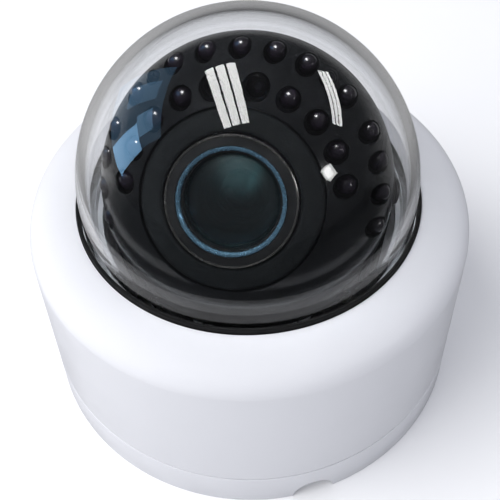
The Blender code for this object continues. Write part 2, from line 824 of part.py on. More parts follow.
def make_windows():
    """Two clear caps that stand on the inner board, one of them over the light sensor."""
    low = INNER_BOARD_H + BOARD_THICK + GAP
    inner_r = WINDOW_R - WINDOW_WALL
    ceiling = WINDOW_TOP - 2 * WINDOW_WALL
    profile = [
        (0, WINDOW_TOP),
        (WINDOW_R * 0.6, WINDOW_TOP - 0.2 * MM),
        (WINDOW_R, WINDOW_TOP - WINDOW_WALL),
        (WINDOW_R, low),
        (inner_r, low),
        (inner_r, ceiling),
        (0, ceiling),
    ]
    for side, name in ((1, "right"), (-1, "left")):
        window = turned_from_axis(f"led_window_{name}", profile, SMALL, CLEAR, ROLL)
        window.location = (*clock(INNER_RING_R, side * WINDOW_ANGLE), 0)
    sensor = bmesh.new()
    add_rod(sensor, clock(INNER_RING_R, WINDOW_ANGLE), SENSOR_R, low, low + 3 * MM, TINY)
    add_object("light_sensor", mesh_from("light_sensor", sensor), SENSOR_GREY, ROLL)


def make_roll_bearing():
    high = LEDGE_H - 0.5 * MM
    low = high - 1.4 * MM
    outer, inner = 35.3 * MM, 28.0 * MM
    profile = [(outer, high), (outer, low), (inner, low), (inner, high)]
    turned("roll_retainer", profile, ROUND, PLASTIC_BLACK, ROLL)


# ---------------------------------------------------------------- lens and sensor


def make_lens_mount():
    outer = BORE_R - GAP - SKIRT_WALL - GAP
    high = PLATE_H + PLATE_THICK
    bore = NOSE_R + 0.4 * MM
    profile = [(outer, high), (outer, PLATE_H), (bore, PLATE_H), (bore, high)]
    turned("module_plate", profile, ROUND, STEEL_BLACK, ROLL)
    half = HOLDER_SIDE / 2
    low = SENSOR_BOARD_TOP + GAP
    holder = add_block(
        "lens_holder", (-half, -half, low), (half, half, PLATE_H - GAP), PLASTIC_BLACK, ROLL
    )
    hollow = FILTER_SIDE / 2 + 0.4 * MM
    ceiling = NOSE_END - RING_GAP
    cut(
        holder,
        rods("holder_bore", [(0, 0)], NOSE_R + GAP, ceiling - MM / 5, 2 * MM, 20, ROLL),
        box("holder_hollow", (-hollow, -hollow, low - MM), (hollow, hollow, ceiling), ROLL),
        rods("holder_holes", SENSOR_SCREWS, TAPPED_R, low - MM, ceiling - MM / 2, TINY, ROLL),
    )


def make_sensor():
    top = SENSOR_BOARD_TOP
    low = top - SENSOR_BOARD_THICK
    half = SENSOR_BOARD_SIDE / 2
    board = add_block("camera_board", (-half, -half, low), (half, half, top), BOARD_GREEN, ROLL)
    cut(board, rods("camera_holes", SENSOR_SCREWS, TAPPED_R, low - MM, top + MM, TINY, ROLL))
    chip = SENSOR_SIDE / 2
    chip_ends = (top + GAP, top + 1.6 * MM)
    add_block(
        "image_sensor", (-chip, -chip, chip_ends[0]), (chip, chip, chip_ends[1]), CHIP_BLACK, ROLL
    )
    pane = FILTER_SIDE / 2
    add_block(
        "ir_filter", (-pane, -pane, FILTER_H[0]), (pane, pane, FILTER_H[1]), FILTER_BLUE, ROLL
    )
    length, width, depth = PLUG_SIZE
    plug_high = low - GAP
    add_block(
        "board_connector",
        (-length / 2, -width / 2, plug_high - depth),
        (length / 2, width / 2, plug_high),
        PLASTIC_WHITE,
        ROLL,
    )
    for number, place in enumerate(SENSOR_SCREWS):
        screw(f"camera_board_screw_{number + 1}", place, low - GAP, -3 * MM, ROLL)


def make_lens_barrel():
    flange = PLATE_H + PLATE_THICK + GAP
    profile = [
        (BARREL_R, BARREL_TOP),
        (BARREL_R, flange),
        (NOSE_R, flange),
        (NOSE_R, NOSE_END),
        (PUPIL_R, NOSE_END),
        (PUPIL_R, ZOOM_LOW),
        (THROAT_R, ZOOM_HIGH - 1.5 * MM),
        (THROAT_R, BARREL_TOP),
    ]
    turned("lens_barrel", profile, ROUND, PLASTIC_BLACK, ROLL)


def lock_screw(name, height, ring_r, reach, knob_r, parent):
    """A little thumb screw that stands out of a lens ring. Returns the cutter of its hole."""
    profile = [
        (0, reach),
        (knob_r * 0.8, reach),
        (knob_r, reach - 0.5 * MM),
        (knob_r, ring_r + GAP),
        (SCREW_SHANK_R, ring_r + GAP),
        (SCREW_SHANK_R, ring_r - 1.6 * MM),
        (0, ring_r - 1.6 * MM),
    ]
    item = turned_from_axis(name, profile, SMALL, STEEL_BLACK, parent)
    item.location = (0, 0, height)
    item.rotation_euler = (pi / 2, 0, 0)
    hole = rods(name + "_hole", [(0, 0)], TAPPED_R, ring_r - 2 * MM, ring_r + MM, TINY, parent)
    hole.location = (0, 0, height)
    hole.rotation_euler = (pi / 2, 0, 0)
    return hole


def make_lens_rings():
    inner = BARREL_R + RING_GAP
    zoom = [(ZOOM_R, ZOOM_HIGH), (ZOOM_R, ZOOM_LOW), (inner, ZOOM_LOW), (inner, ZOOM_HIGH)]
    zoom_ring = turned("zoom_ring", zoom, ROUND, PLASTIC_BLACK, ZOOM)
    middle = (ZOOM_LOW + ZOOM_HIGH) / 2
    cut(zoom_ring, lock_screw("zoom_lock", middle, ZOOM_R, 20.5 * MM, 2.4 * MM, ZOOM))
    seat = BARREL_TOP + GAP
    focus = [
        (FOCUS_R - 0.8 * MM, FOCUS_HIGH),
        (FOCUS_R, FOCUS_HIGH - 0.8 * MM),
        (FOCUS_R, FOCUS_LOW),
        (inner, FOCUS_LOW),
        (inner, seat),
        (GLASS_R + GAP, seat),
        (GLASS_R + GAP, FOCUS_HIGH),
    ]
    focus_ring = turned("focus_ring", focus, ROUND, PLASTIC_BLACK, FOCUS)
    lock = lock_screw("focus_lock", 27.2 * MM, FOCUS_R, 19.4 * MM, 2.0 * MM, FOCUS)
    cut(focus_ring, lock)
    glass_low = seat + GAP
    bend = GLASS_BEND_R
    top = FOCUS_HIGH - 0.4 * MM
    centre = top - bend
    edge = centre + sqrt(bend**2 - GLASS_R**2)
    front = arc(bend, edge, top - MM / 1000, 3, centre)[::-1][1:]
    profile = [(0, top)] + front + [(GLASS_R, glass_low), (0, glass_low)]
    turned_from_axis("front_lens", profile, 24, CLEAR, FOCUS)


def make_light_seal():
    """The soft ring between the lens and the eyeball that keeps infrared out of the lens."""
    inner = FOCUS_R + RING_GAP
    outer = LENS_OPENING_R - RING_GAP
    profile = [
        (inner, SEAL_INNER_TOP),
        (outer, SEAL_OUTER_TOP),
        (outer, SEAL_H),
        (inner, SEAL_H),
    ]
    turned("light_seal", profile, ROUND, FOAM, ROLL)


# ---------------------------------------------------------------- all of it

clear_scene()
PARTS = new_collection("dome_camera")
CUTTERS = new_collection("cutters")
CUTTERS.hide_render = True

BOARD_SCREWS = [polar(BOARD_SCREW_R, angle) for angle in BOARD_SCREW_AZ]
CLAMP_SCREWS = [polar(CLAMP_SCREW_R, angle) for angle in CLAMP_SCREW_AZ]
RETAINER_SCREWS = around(RETAINER_SCREW_R, 3, pi / 2)
ARM_SCREWS = [(x * ARM_SCREW_X, y * ARM_SCREW_Y) for x in (1, -1) for y in (1, -1)]
SENSOR_SCREWS = [(side * SENSOR_SCREW_OFFSET, side * SENSOR_SCREW_OFFSET) for side in (1, -1)]

METAL_WHITE = new_material("painted_metal_white", (0.80, 0.80, 0.82), 0.35)
PLASTIC_WHITE = new_material("plastic_white", (0.83, 0.83, 0.85), 0.38)
CLEAR = new_material("clear_polycarbonate", (0.95, 0.96, 0.97), 0.03, alpha=0.25)
BALL_BLACK = new_material("gloss_black", (0.01, 0.01, 0.012), 0.08)
PLASTIC_BLACK = new_material("plastic_black", (0.02, 0.02, 0.022), 0.4)
RUBBER = new_material("rubber_black", (0.015, 0.015, 0.016), 0.6)
FOAM = new_material("foam_black", (0.02, 0.02, 0.02), 0.9)
STEEL = new_material("steel", (0.6, 0.6, 0.6), 0.3, 1.0)
STEEL_BLACK = new_material("steel_black", (0.05, 0.05, 0.05), 0.35, 1.0)
SPRING_STEEL = new_material("spring_steel", (0.5, 0.5, 0.5), 0.35, 1.0)
BOARD_GREEN = new_material("circuit_board", (0.02, 0.12, 0.05), 0.45)
TERMINAL_GREEN = new_material("terminal_green", (0.03, 0.3, 0.1), 0.45)
LED_DARK = new_material("led_board", (0.03, 0.02, 0.025), 0.2)
CHIP_BLACK = new_material("chip", (0.03, 0.03, 0.035), 0.3)
FILTER_BLUE = new_material("filter", (0.3, 0.7, 0.75), 0.05)
SENSOR_GREY = new_material("light_sensor", (0.35, 0.3, 0.25), 0.4)

PAN = new_axis("pan_axis", turn=(0, 0, PAN_AZ))
TILT = new_axis("tilt_axis", PAN, (0, 0, BALL_Z), (pi / 2 - LENS_ELEVATION, 0, 0))
ROLL = new_axis("roll_axis", TILT, turn=(0, 0, LED_ROLL))
ZOOM = new_axis("zoom_axis", ROLL, turn=(0, 0, radians(-20)))
FOCUS = new_axis("focus_axis", ROLL, turn=(0, 0, radians(20)))
bpy.context.view_layer.update()

make_base()
make_seal_ring()
make_cable_grommet()
make_cover_clips()
make_main_board()
make_cover()
make_dome()
make_dome_gasket()
make_dome_clamp()
make_pan_bearing()
make_tilt_arm(1, "tilt_arm_right")
make_tilt_arm(-1, "tilt_arm_left")
make_arm_screws()
make_eyeball_rear()
make_tilt_screws()
make_eyeball_front()
make_led_boards()
make_windows()
make_roll_bearing()
make_lens_mount()
make_sensor()
make_lens_barrel()
make_lens_rings()
make_light_seal()
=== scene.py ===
"""Looks of the dome camera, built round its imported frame, +Z up.

Every piece is drawn in millimetres, in the row frame or in the eyeball's own frame, whose Z
runs along the lens, and rides on the CAD body that it belongs to. The studio is in metres.
"""

import json
from math import asin, atan2, cos, hypot, pi, radians, sin, sqrt

import bmesh
import bpy
from mathutils import Matrix, Vector

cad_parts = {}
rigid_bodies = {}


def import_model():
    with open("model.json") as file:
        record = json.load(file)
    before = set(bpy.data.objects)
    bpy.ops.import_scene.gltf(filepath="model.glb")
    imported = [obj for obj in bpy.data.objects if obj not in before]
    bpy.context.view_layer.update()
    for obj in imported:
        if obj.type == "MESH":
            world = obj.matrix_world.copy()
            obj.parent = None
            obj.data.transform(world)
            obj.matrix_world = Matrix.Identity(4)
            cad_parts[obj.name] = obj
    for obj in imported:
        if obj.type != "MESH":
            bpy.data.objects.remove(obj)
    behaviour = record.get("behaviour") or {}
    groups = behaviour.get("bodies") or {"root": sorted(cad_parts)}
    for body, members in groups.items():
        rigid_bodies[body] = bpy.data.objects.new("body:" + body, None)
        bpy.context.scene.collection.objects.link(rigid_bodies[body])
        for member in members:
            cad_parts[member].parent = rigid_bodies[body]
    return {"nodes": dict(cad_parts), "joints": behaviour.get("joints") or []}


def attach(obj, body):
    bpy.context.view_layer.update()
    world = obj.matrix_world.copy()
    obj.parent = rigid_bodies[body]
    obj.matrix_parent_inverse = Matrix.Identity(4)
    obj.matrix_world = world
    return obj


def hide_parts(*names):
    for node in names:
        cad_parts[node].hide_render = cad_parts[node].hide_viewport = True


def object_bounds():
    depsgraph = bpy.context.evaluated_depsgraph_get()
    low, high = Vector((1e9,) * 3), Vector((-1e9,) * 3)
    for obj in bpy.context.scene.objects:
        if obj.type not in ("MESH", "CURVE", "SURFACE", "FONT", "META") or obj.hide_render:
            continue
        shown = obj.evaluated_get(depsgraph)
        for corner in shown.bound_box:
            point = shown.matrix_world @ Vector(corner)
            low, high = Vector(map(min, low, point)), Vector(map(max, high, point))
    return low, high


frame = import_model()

CAD_BOX = [list(corner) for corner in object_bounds()]
MM = 0.001
HERE = Matrix()
FINE = 192
ROUND = 96
SMALL = 40


# ---- the frame


def joint(name):
    return next(item for item in frame["joints"] if item["name"] == name)


def eyeball_frame():
    """The eyeball's frame: X along its tilt axis, Z along the lens."""
    along = Vector(joint("picture_turn")["axis"]).normalized()
    across = Vector(joint("tilt")["axis"]).normalized()
    up = along.cross(across)
    turn = Matrix((across, up, along)).transposed().to_4x4()
    return Matrix.Translation(joint("tilt")["pos_m"]) @ turn


def node_points(node, matrix=HERE):
    """The vertices of a CAD node in the frame of matrix, in millimetres."""
    back = matrix.inverted()
    return [back @ vertex.co / MM for vertex in frame["nodes"][node].data.vertices]


def measure(node, matrix=HERE):
    """Inner radius, outer radius, low and high of a CAD node about the Z of matrix."""
    points = node_points(node, matrix)
    radii = [hypot(point.x, point.y) for point in points]
    heights = [point.z for point in points]
    return min(radii), max(radii), min(heights), max(heights)


def middle(node, matrix=HERE):
    """The centre of a CAD node's box in the frame of matrix."""
    points = node_points(node, matrix)
    return Vector([(min(p[i] for p in points) + max(p[i] for p in points)) / 2 for i in range(3)])


def shift(x, y, z=0):
    """A move by millimetres."""
    return Matrix.Translation((x * MM, y * MM, z * MM))


def spun(angle, about="Z"):
    return Matrix.Rotation(angle, 4, about)


BALL = eyeball_frame()
PAN_TURN = spun(atan2(joint("tilt")["axis"][1], joint("tilt")["axis"][0]))
WINDOWS_PLACE = (middle("led_window_left", BALL) + middle("led_window_right", BALL)) / 2
LED_TURN = atan2(WINDOWS_PLACE.y, WINDOWS_PLACE.x) - pi / 2
LEDS = BALL @ spun(LED_TURN)


# ---- materials


class Paint:
    """A Principled material under construction: nodes drive colour, roughness and bump."""

    def __init__(self, name, **plain):
        self.material = bpy.data.materials.new(name)
        self.material.use_nodes = True
        self.tree = self.material.node_tree
        self.shader = self.tree.nodes["Principled BSDF"]
        self.normal = self.shade = None
        self.place = self.node("TexCoord").outputs["Object"]
        for socket, value in plain.items():
            self.shader.inputs[socket.replace("_", " ")].default_value = value

    def node(self, kind, inputs=(), **values):
        made = self.tree.nodes.new("ShaderNode" + kind)
        for name, value in values.items():
            setattr(made, name, value)
        for name, value in dict(inputs).items():
            made.inputs[name].default_value = value
        return made

    def link(self, source, target):
        self.tree.links.new(source, target)

    def noise(self, scale, detail=4.0, rough=0.55, stretch=None):
        made = self.node("TexNoise", {"Scale": scale, "Detail": detail, "Roughness": rough})
        source = self.place
        if stretch:
            mapping = self.node("Mapping", {"Scale": stretch})
            self.link(self.place, mapping.inputs["Vector"])
            source = mapping.outputs["Vector"]
        self.link(source, made.inputs["Vector"])
        return made.outputs["Fac"]

    def cells(self, scale):
        made = self.node("TexVoronoi", {"Scale": scale})
        self.link(self.place, made.inputs["Vector"])
        return made.outputs["Distance"]

    def ramp(self, source, *stops):
        """Colours along a value: stops are (position, colour)."""
        made = self.node("ValToRGB")
        elements = made.color_ramp.elements
        while len(elements) < len(stops):
            elements.new(0.5)
        for element, (position, colour) in zip(elements, stops):
            element.position = position
            element.color = (*colour, 1)
        self.link(source, made.inputs["Fac"])
        return made.outputs["Color"]

    def mix(self, factor, first, second):
        made = self.node("Mix", data_type="RGBA")
        self.link(factor, made.inputs["Factor"])
        for value, socket in ((first, made.inputs[6]), (second, made.inputs[7])):
            if isinstance(value, tuple):
                socket.default_value = (*value, 1)
            else:
                self.link(value, socket)
        return made.outputs[2]

    def spread(self, source, low, high, start=0.3, end=0.7):
        ends = {"From Min": start, "From Max": end, "To Min": low, "To Max": high}
        made = self.node("MapRange", ends)
        self.link(source, made.inputs["Value"])
        return made.outputs["Result"]

    def colour(self, source):
        self.shade = source
        self.link(source, self.shader.inputs["Base Color"])

    def uneven(self, scale, detail, smoothest, roughest):
        self.roughness(self.spread(self.noise(scale, detail), smoothest, roughest))

    def roughness(self, source):
        self.link(source, self.shader.inputs["Roughness"])

    def bump(self, source, strength, distance):
        made = self.node("Bump", {"Strength": strength, "Distance": distance})
        self.link(source, made.inputs["Height"])
        if self.normal:
            self.link(self.normal, made.inputs["Normal"])
        self.normal = made.outputs["Normal"]
        self.link(self.normal, self.shader.inputs["Normal"])


def moulding(name, dark, light, rough, grain, depth, cloud=45, **plain):
    """Moulded or painted surfaces: slow colour drift, fine grain and uneven gloss."""
    paint = Paint(name, **plain)
    drift = paint.noise(cloud, 3)
    paint.colour(paint.ramp(drift, (0.3, dark), (0.7, light)))
    fine = paint.noise(grain, 2, 0.6)
    paint.uneven(cloud * 6, 4, rough[0], rough[1])
    paint.bump(fine, depth, 0.05 * MM)
    return paint


def moulded(*values, **plain):
    return moulding(*values, **plain).material


def cover_plastic():
    whites = (0.70, 0.705, 0.735), (0.73, 0.735, 0.765)
    paint = moulding("cover_plastic", *whites, (0.30, 0.42), 1100, 0.10, 18)
    dust = paint.spread(paint.noise(260, 6, 0.75), 0.0, 0.05, 0.58, 0.75)
    paint.colour(paint.mix(dust, paint.shade, (0.6, 0.6, 0.6)))
    return paint.material


def satin_black(name, rough, depth):
    dark, light = (0.007, 0.0075, 0.008), (0.013, 0.0135, 0.014)
    return moulded(name, dark, light, rough, 700, depth, Specular_IOR_Level=0.3)


def foam():
    dark, light = (0.004, 0.005, 0.0055), (0.008, 0.0095, 0.0105)
    paint = moulding("foam", dark, light, (0.75, 0.92), 900, 0.3, Specular_IOR_Level=0.2)
    paint.bump(paint.cells(1600), 0.35, 0.08 * MM)
    return paint.material


def metal(name, dark, light, rough, stretch=(1, 1, 14)):
    paint = Paint(name, Metallic=1.0)
    streaks = paint.noise(900, 3, 0.6, stretch)
    cloud = paint.noise(120, 4)
    paint.colour(paint.mix(cloud, paint.ramp(streaks, (0.3, dark), (0.7, light)), light))
    paint.roughness(paint.spread(streaks, rough[0], rough[1]))
    paint.bump(streaks, 0.08, 0.03 * MM)
    return paint.material


def circuit_board(name, dark, light, track, pad):
    """Solder mask over copper tracks, with the tracks a shade lighter and slightly raised."""
    paint = Paint(name, Coat_Weight=0.4, Coat_Roughness=0.12)
    layout = {"Scale": 420, "Mortar Size": 0.035, "Brick Width": 1.7, "Row Height": 0.36}
    tracks = paint.node("TexBrick", layout)
    paint.link(paint.place, tracks.inputs["Vector"])
    vias = paint.spread(paint.cells(330), 1.0, 0.0, 0.10, 0.16)
    mask = paint.ramp(paint.noise(90, 4), (0.3, dark), (0.7, light))
    lined = paint.mix(tracks.outputs["Fac"], mask, track)
    paint.colour(paint.mix(vias, lined, pad))
    paint.uneven(300, 3, 0.3, 0.45)
    paint.bump(tracks.outputs["Fac"], 0.3, 0.03 * MM)
    return paint.material


def anodised(name, dark, light):
    paint = Paint(name, Metallic=0.85)
    cloud = paint.noise(260, 4)
    paint.colour(paint.ramp(cloud, (0.3, dark), (0.7, light)))
    paint.uneven(900, 2, 0.16, 0.3)
    paint.bump(paint.noise(1500, 2), 0.06, 0.02 * MM)
    return paint.material


def glass(name, colour, roughness, ior, dust, coat=0.0, film=0.03):
    """Clear plastic or glass. Lamps pass straight through it, so that what it covers is lit."""
    coating = {"Coat_Weight": coat, "Coat_Roughness": film}
    paint = Paint(name, Transmission_Weight=1.0, IOR=ior, Roughness=roughness, **coating)
    haze = paint.noise(70, 5, 0.7)
    faint = tuple(channel * (1 - dust) for channel in colour)
    paint.colour(paint.ramp(haze, (0.35, faint), (0.65, colour)))
    path = paint.node("LightPath")
    clear = paint.node("BsdfTransparent", {"Color": (*colour, 1)})
    joined = paint.node("MixShader")
    paint.link(path.outputs["Is Shadow Ray"], joined.inputs["Fac"])
    paint.link(paint.shader.outputs["BSDF"], joined.inputs[1])
    paint.link(clear.outputs["BSDF"], joined.inputs[2])
    output = paint.tree.nodes["Material Output"]
    paint.link(joined.outputs["Shader"], output.inputs["Surface"])
    return paint.material


def chip_top():
    """Bare silicon under glass, with a rainbow drift."""
    paint = Paint("sensor_silicon", Coat_Weight=1.0, Coat_Roughness=0.03, Metallic=0.4)
    drift = paint.noise(160, 1)
    paint.colour(
        paint.ramp(drift, (0.3, (0.02, 0.05, 0.08)), (0.5, (0.05, 0.03, 0.07)), (0.7, (0.02, 0.06, 0.03)))
    )
    paint.uneven(700, 2, 0.12, 0.25)
    return paint.material


def floor_paint():
    """Pale to the eye, and darker in mirror images the nearer it comes to the camera's side."""
    paint = moulding("pale_floor", (0.94, 0.94, 0.95), (0.97, 0.97, 0.98), (0.6, 0.75), 60, 0.05, 3)
    mirrored = paint.node("LightPath").outputs["Glossy Depth"]
    split = paint.node("SeparateXYZ")
    paint.link(paint.place, split.inputs["Vector"])
    nearness = paint.spread(split.outputs["Y"], 1.0, 0.35, -0.02, 0.12)
    shade = paint.node("Math", operation="MULTIPLY")
    paint.link(paint.spread(mirrored, 0.0, 1.0, 0.0, 1.0), shade.inputs[0])
    paint.link(nearness, shade.inputs[1])
    paint.colour(paint.mix(shade.outputs["Value"], paint.shade, (0.03, 0.032, 0.035)))
    return paint.material


COVER = cover_plastic()
BASE = moulded("base_powder_coat", (0.68, 0.685, 0.715), (0.71, 0.715, 0.745), (0.38, 0.55), 520, 0.25, 22)
LINER = moulded("liner_plastic", (0.60, 0.62, 0.67), (0.66, 0.68, 0.72), (0.4, 0.55), 800, 0.15)
BALL_BLACKS = (0.004, 0.0045, 0.005), (0.0065, 0.007, 0.008)
GLOSS = moulded("eyeball_gloss", *BALL_BLACKS, (0.14, 0.22), 300, 0.012, 60, Specular_IOR_Level=0.4)
SATIN = satin_black("satin_black", (0.32, 0.48), 0.18)
MATTE = satin_black("matte_black", (0.55, 0.72), 0.3)
CHIP = satin_black("chip_epoxy", (0.35, 0.5), 0.25)
RUBBER_BLACKS = (0.005, 0.005, 0.0055), (0.010, 0.010, 0.010)
RUBBER = moulded("rubber", *RUBBER_BLACKS, (0.5, 0.68), 1300, 0.35, Specular_IOR_Level=0.3)
FOAM = foam()
STEEL = metal("zinc_steel", (0.42, 0.43, 0.44), (0.62, 0.62, 0.60), (0.22, 0.38))
DARK_STEEL = metal("black_steel", (0.02, 0.02, 0.022), (0.045, 0.045, 0.05), (0.25, 0.42))
SPRING = metal("spring_steel", (0.36, 0.36, 0.37), (0.55, 0.55, 0.54), (0.2, 0.34), (1, 14, 1))
BRASS = metal("brass_contact", (0.45, 0.32, 0.12), (0.65, 0.48, 0.2), (0.2, 0.35))
GREENS = (0.008, 0.055, 0.022), (0.012, 0.075, 0.03), (0.03, 0.14, 0.05)
BLACKS = (0.006, 0.006, 0.007), (0.01, 0.01, 0.011), (0.02, 0.02, 0.022)
BOARD = circuit_board("green_board", *GREENS, (0.45, 0.36, 0.16))
LED_BOARD = circuit_board("black_board", *BLACKS, (0.03, 0.028, 0.022))
SMOKE = (0.004, 0.003, 0.006), (0.012, 0.008, 0.014)
VARNISH = {"Coat_Weight": 1.0, "Coat_Roughness": 0.15, "IOR": 1.55}
EPOXY = moulded("led_epoxy", *SMOKE, (0.14, 0.2), 200, 0.01, 160, **VARNISH)
BLUE_TRIM = anodised("blue_trim", (0.17, 0.34, 0.48), (0.22, 0.42, 0.58))
# A pale metallic colour for a band on the black focus ring's front edge: a painted highlight where that
# edge catches the light.
EDGE_HIGHLIGHT_PAINT = anodised("pale_trim", (0.12, 0.12, 0.115), (0.18, 0.175, 0.165))
CLEAR = glass("dome_polycarbonate", (0.975, 0.98, 0.985), 0.0, 1.5, 0.01)
WINDOW = glass("led_window_clear", (0.86, 0.88, 0.90), 0.02, 1.49, 0.05)
LENS = glass("coated_lens", (0.62, 0.80, 0.84), 0.0, 1.6, 0.05, 1.0, 0.2)
LENS_INNER = glass("coated_inner_lens", (0.62, 0.42, 0.60), 0.0, 1.62, 0.05, 1.0, 0.08)
FILTER = glass("infrared_filter", (0.45, 0.80, 0.82), 0.02, 1.52, 0.04)
SILICON = chip_top()
TERMINAL = moulded("terminal_green", (0.02, 0.16, 0.05), (0.03, 0.20, 0.07), (0.35, 0.5), 700, 0.15)
IVORY = moulded("connector_ivory", (0.66, 0.63, 0.55), (0.74, 0.71, 0.63), (0.4, 0.55), 700, 0.15)


# ---- mesh tools


def fillet(points, radius, steps=3, closed=True):
    """Rounds each clear corner of an outline of (radius, height) points."""
    count = len(points)
    smooth = []
    for i, point in enumerate(points):
        ends = not closed and i in (0, count - 1)
        here = Vector(point)
        before = Vector(points[i - 1]) - here
        after = Vector(points[(i + 1) % count]) - here
        turn = 0 if ends or not before.length or not after.length else pi - before.angle(after)
        if turn < radians(20):
            smooth.append(tuple(here))
            continue
        reach = min(radius, 0.42 * before.length, 0.42 * after.length)
        start = here + before.normalized() * reach
        end = here + after.normalized() * reach
        for step in range(steps + 1):
            t = step / steps
            smooth.append(tuple((1 - t) ** 2 * start + 2 * t * (1 - t) * here + t * t * end))
    return smooth


def arc(radius, low, high, steps, centre=0.0):
    """Points on a circle about the axis, from height low to height high."""
    first = asin(max(-1, min(1, (low - centre) / radius)))
    last = asin(max(-1, min(1, (high - centre) / radius)))
    angles = [first + (last - first) * i / steps for i in range(steps + 1)]
    return [(radius * cos(angle), centre + radius * sin(angle)) for angle in angles]


def collar(inner, outer, low, high, soften, steps=3):
    """The outline of a plain ring with softened edges."""
    return fillet([(outer, high), (outer, low), (inner, low), (inner, high)], soften, steps)


def link_object(name, data):
    item = bpy.data.objects.new(name, data)
    bpy.context.scene.collection.objects.link(item)
    return item


def new_object(name, bm, material=None, matrix=HERE, sharp=32):
    """An object from a mesh that was drawn in millimetres."""
    bmesh.ops.recalc_face_normals(bm, faces=bm.faces)
    bmesh.ops.scale(bm, vec=(MM, MM, MM), verts=bm.verts)
    mesh = bpy.data.meshes.new(name)
    bm.to_mesh(mesh)
    bm.free()
    item = link_object(name, mesh)
    item.matrix_world = matrix
    if material:
        mesh.materials.append(material)
    smooth(item, sharp)
    return item


def smooth(item, sharp):
    item.data.shade_smooth()
    item.data.set_sharp_from_angle(angle=radians(sharp))


def turn_into(bm, profile, steps, ripple=None, closed=True):
    """Adds a turned surface to bm. A profile that starts on the axis ends there too."""
    rings = []
    for radius, height in profile:
        if radius < 1e-6:
            rings.append([bm.verts.new((0, 0, height))])
            continue
        ring = []
        for step in range(steps):
            angle = 2 * pi * step / steps
            r = radius + (ripple(step, radius, height) if ripple else 0)
            ring.append(bm.verts.new((r * cos(angle), r * sin(angle), height)))
        rings.append(ring)
    pairs = list(zip(rings, rings[1:])) + ([(rings[-1], rings[0])] if closed and profile[0][0] else [])
    for first, second in pairs:
        for step in range(steps):
            ahead = (step + 1) % steps
            corners = [first[step % len(first)], first[ahead % len(first)]]
            corners += [second[ahead % len(second)], second[step % len(second)]]
            unique = list(dict.fromkeys(corners))
            if len(unique) > 2:
                bm.faces.new(unique)


def turned(name, profile, material, matrix=HERE, steps=ROUND, ripple=None, sharp=32, closed=True):
    bm = bmesh.new()
    turn_into(bm, profile, steps, ripple, closed)
    return new_object(name, bm, material, matrix, sharp)


def add_block(bm, low, high, matrix=HERE):
    size = [b - a for a, b in zip(low, high)]
    centre = [(a + b) / 2 for a, b in zip(low, high)]
    place = matrix @ Matrix.Translation(centre) @ Matrix.Diagonal((*size, 1))
    bmesh.ops.create_cube(bm, size=1, matrix=place)


def add_prism(bm, outline, low, high, matrix=HERE):
    """An outline of (x, y) points drawn out along Z from low to high."""
    ends = [[bm.verts.new(matrix @ Vector((x, y, z))) for x, y in outline] for z in (low, high)]
    bm.faces.new(ends[0][::-1])
    bm.faces.new(ends[1])
    for i in range(len(outline)):
        j = (i + 1) % len(outline)
        bm.faces.new((ends[0][i], ends[0][j], ends[1][j], ends[1][i]))


def bar(low, high, matrix=HERE):
    """A plain block, as a cutter or a part to join."""
    bm = bmesh.new()
    add_block(bm, low, high)
    return new_object("bar", bm, None, matrix)


def block(name, low, high, material, matrix=HERE, bevel=0.3):
    """A block with rounded edges."""
    bm = bmesh.new()
    add_block(bm, low, high)
    rounding = {"segments": 3, "profile": 0.5, "affect": "EDGES", "clamp_overlap": True}
    bmesh.ops.bevel(bm, geom=bm.edges, offset=bevel, **rounding)
    return new_object(name, bm, material, matrix, 40)


def repaint(node, material):
    materials = frame["nodes"][node].data.materials
    materials.clear()
    materials.append(material)


def apply_modifiers(item):
    graph = bpy.context.evaluated_depsgraph_get()
    graph.update()
    mesh = bpy.data.meshes.new_from_object(item.evaluated_get(graph))
    item.modifiers.clear()
    item.data = mesh


def carve(item, tools, operation="DIFFERENCE", sharp=0):
    """Cuts each tool from item, or joins it, and removes the tool. Sharp resets the shading."""
    for tool in tools:
        modifier = item.modifiers.new(tool.name, "BOOLEAN")
        modifier.operation = operation
        modifier.object = tool
        modifier.solver = "EXACT"
    bpy.context.view_layer.update()
    apply_modifiers(item)
    for tool in tools:
        bpy.data.objects.remove(tool, do_unlink=True)
    if sharp:
        smooth(item, sharp)


def rods(places, radius, low, high, matrix=HERE, steps=SMALL):
    """Rods along Z, as cutters or parts to join."""
    bm = bmesh.new()
    profile = [(0, high), (radius, high), (radius, low), (0, low)]
    for x, y in places:
        start = len(bm.verts)
        turn_into(bm, profile, steps)
        bm.verts.ensure_lookup_table()
        bmesh.ops.translate(bm, vec=(x, y, 0), verts=bm.verts[start:])
    return new_object("rods", bm, None, matrix)


def bevel_edges(item, width, angle=35):
    modifier = item.modifiers.new("Edges", "BEVEL")
    modifier.width = width * MM
    modifier.segments = 2
    modifier.limit_method = "ANGLE"
    modifier.angle_limit = radians(angle)


def settle(item, body, material_slot, *nodes):
    """Rides the piece on its body and hides the CAD nodes it stands for."""
    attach(item, body)
    if nodes:
        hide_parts(*nodes)


def polar(radius, angle):
    return (radius * cos(angle), radius * sin(angle))


def around(radius, degrees):
    """Places on a circle."""
    return [polar(radius, radians(angle)) for angle in degrees]


# ---- screws


def cross_recess(head_r, top, depth, matrix):
    """Two tapered bars that cross over a screw's head, as cutters."""
    bars = []
    long, width = head_r * 0.62, head_r * 0.14
    for turn in (0, pi / 2):
        bm = bmesh.new()
        corners = []
        for height, share in ((top + depth, 1.3), (top - depth, 0.35)):
            for x, y in ((-1, -1), (1, -1), (1, 1), (-1, 1)):
                corners.append(bm.verts.new((x * long * share, y * width * min(share, 1), height)))
        bm.faces.new(corners[3::-1])
        bm.faces.new(corners[4:])
        for i in range(4):
            j = (i + 1) % 4
            bm.faces.new((corners[i], corners[j], corners[4 + j], corners[4 + i]))
        bars.append(new_object("cross_bar", bm, None, matrix @ spun(turn)))
    return bars


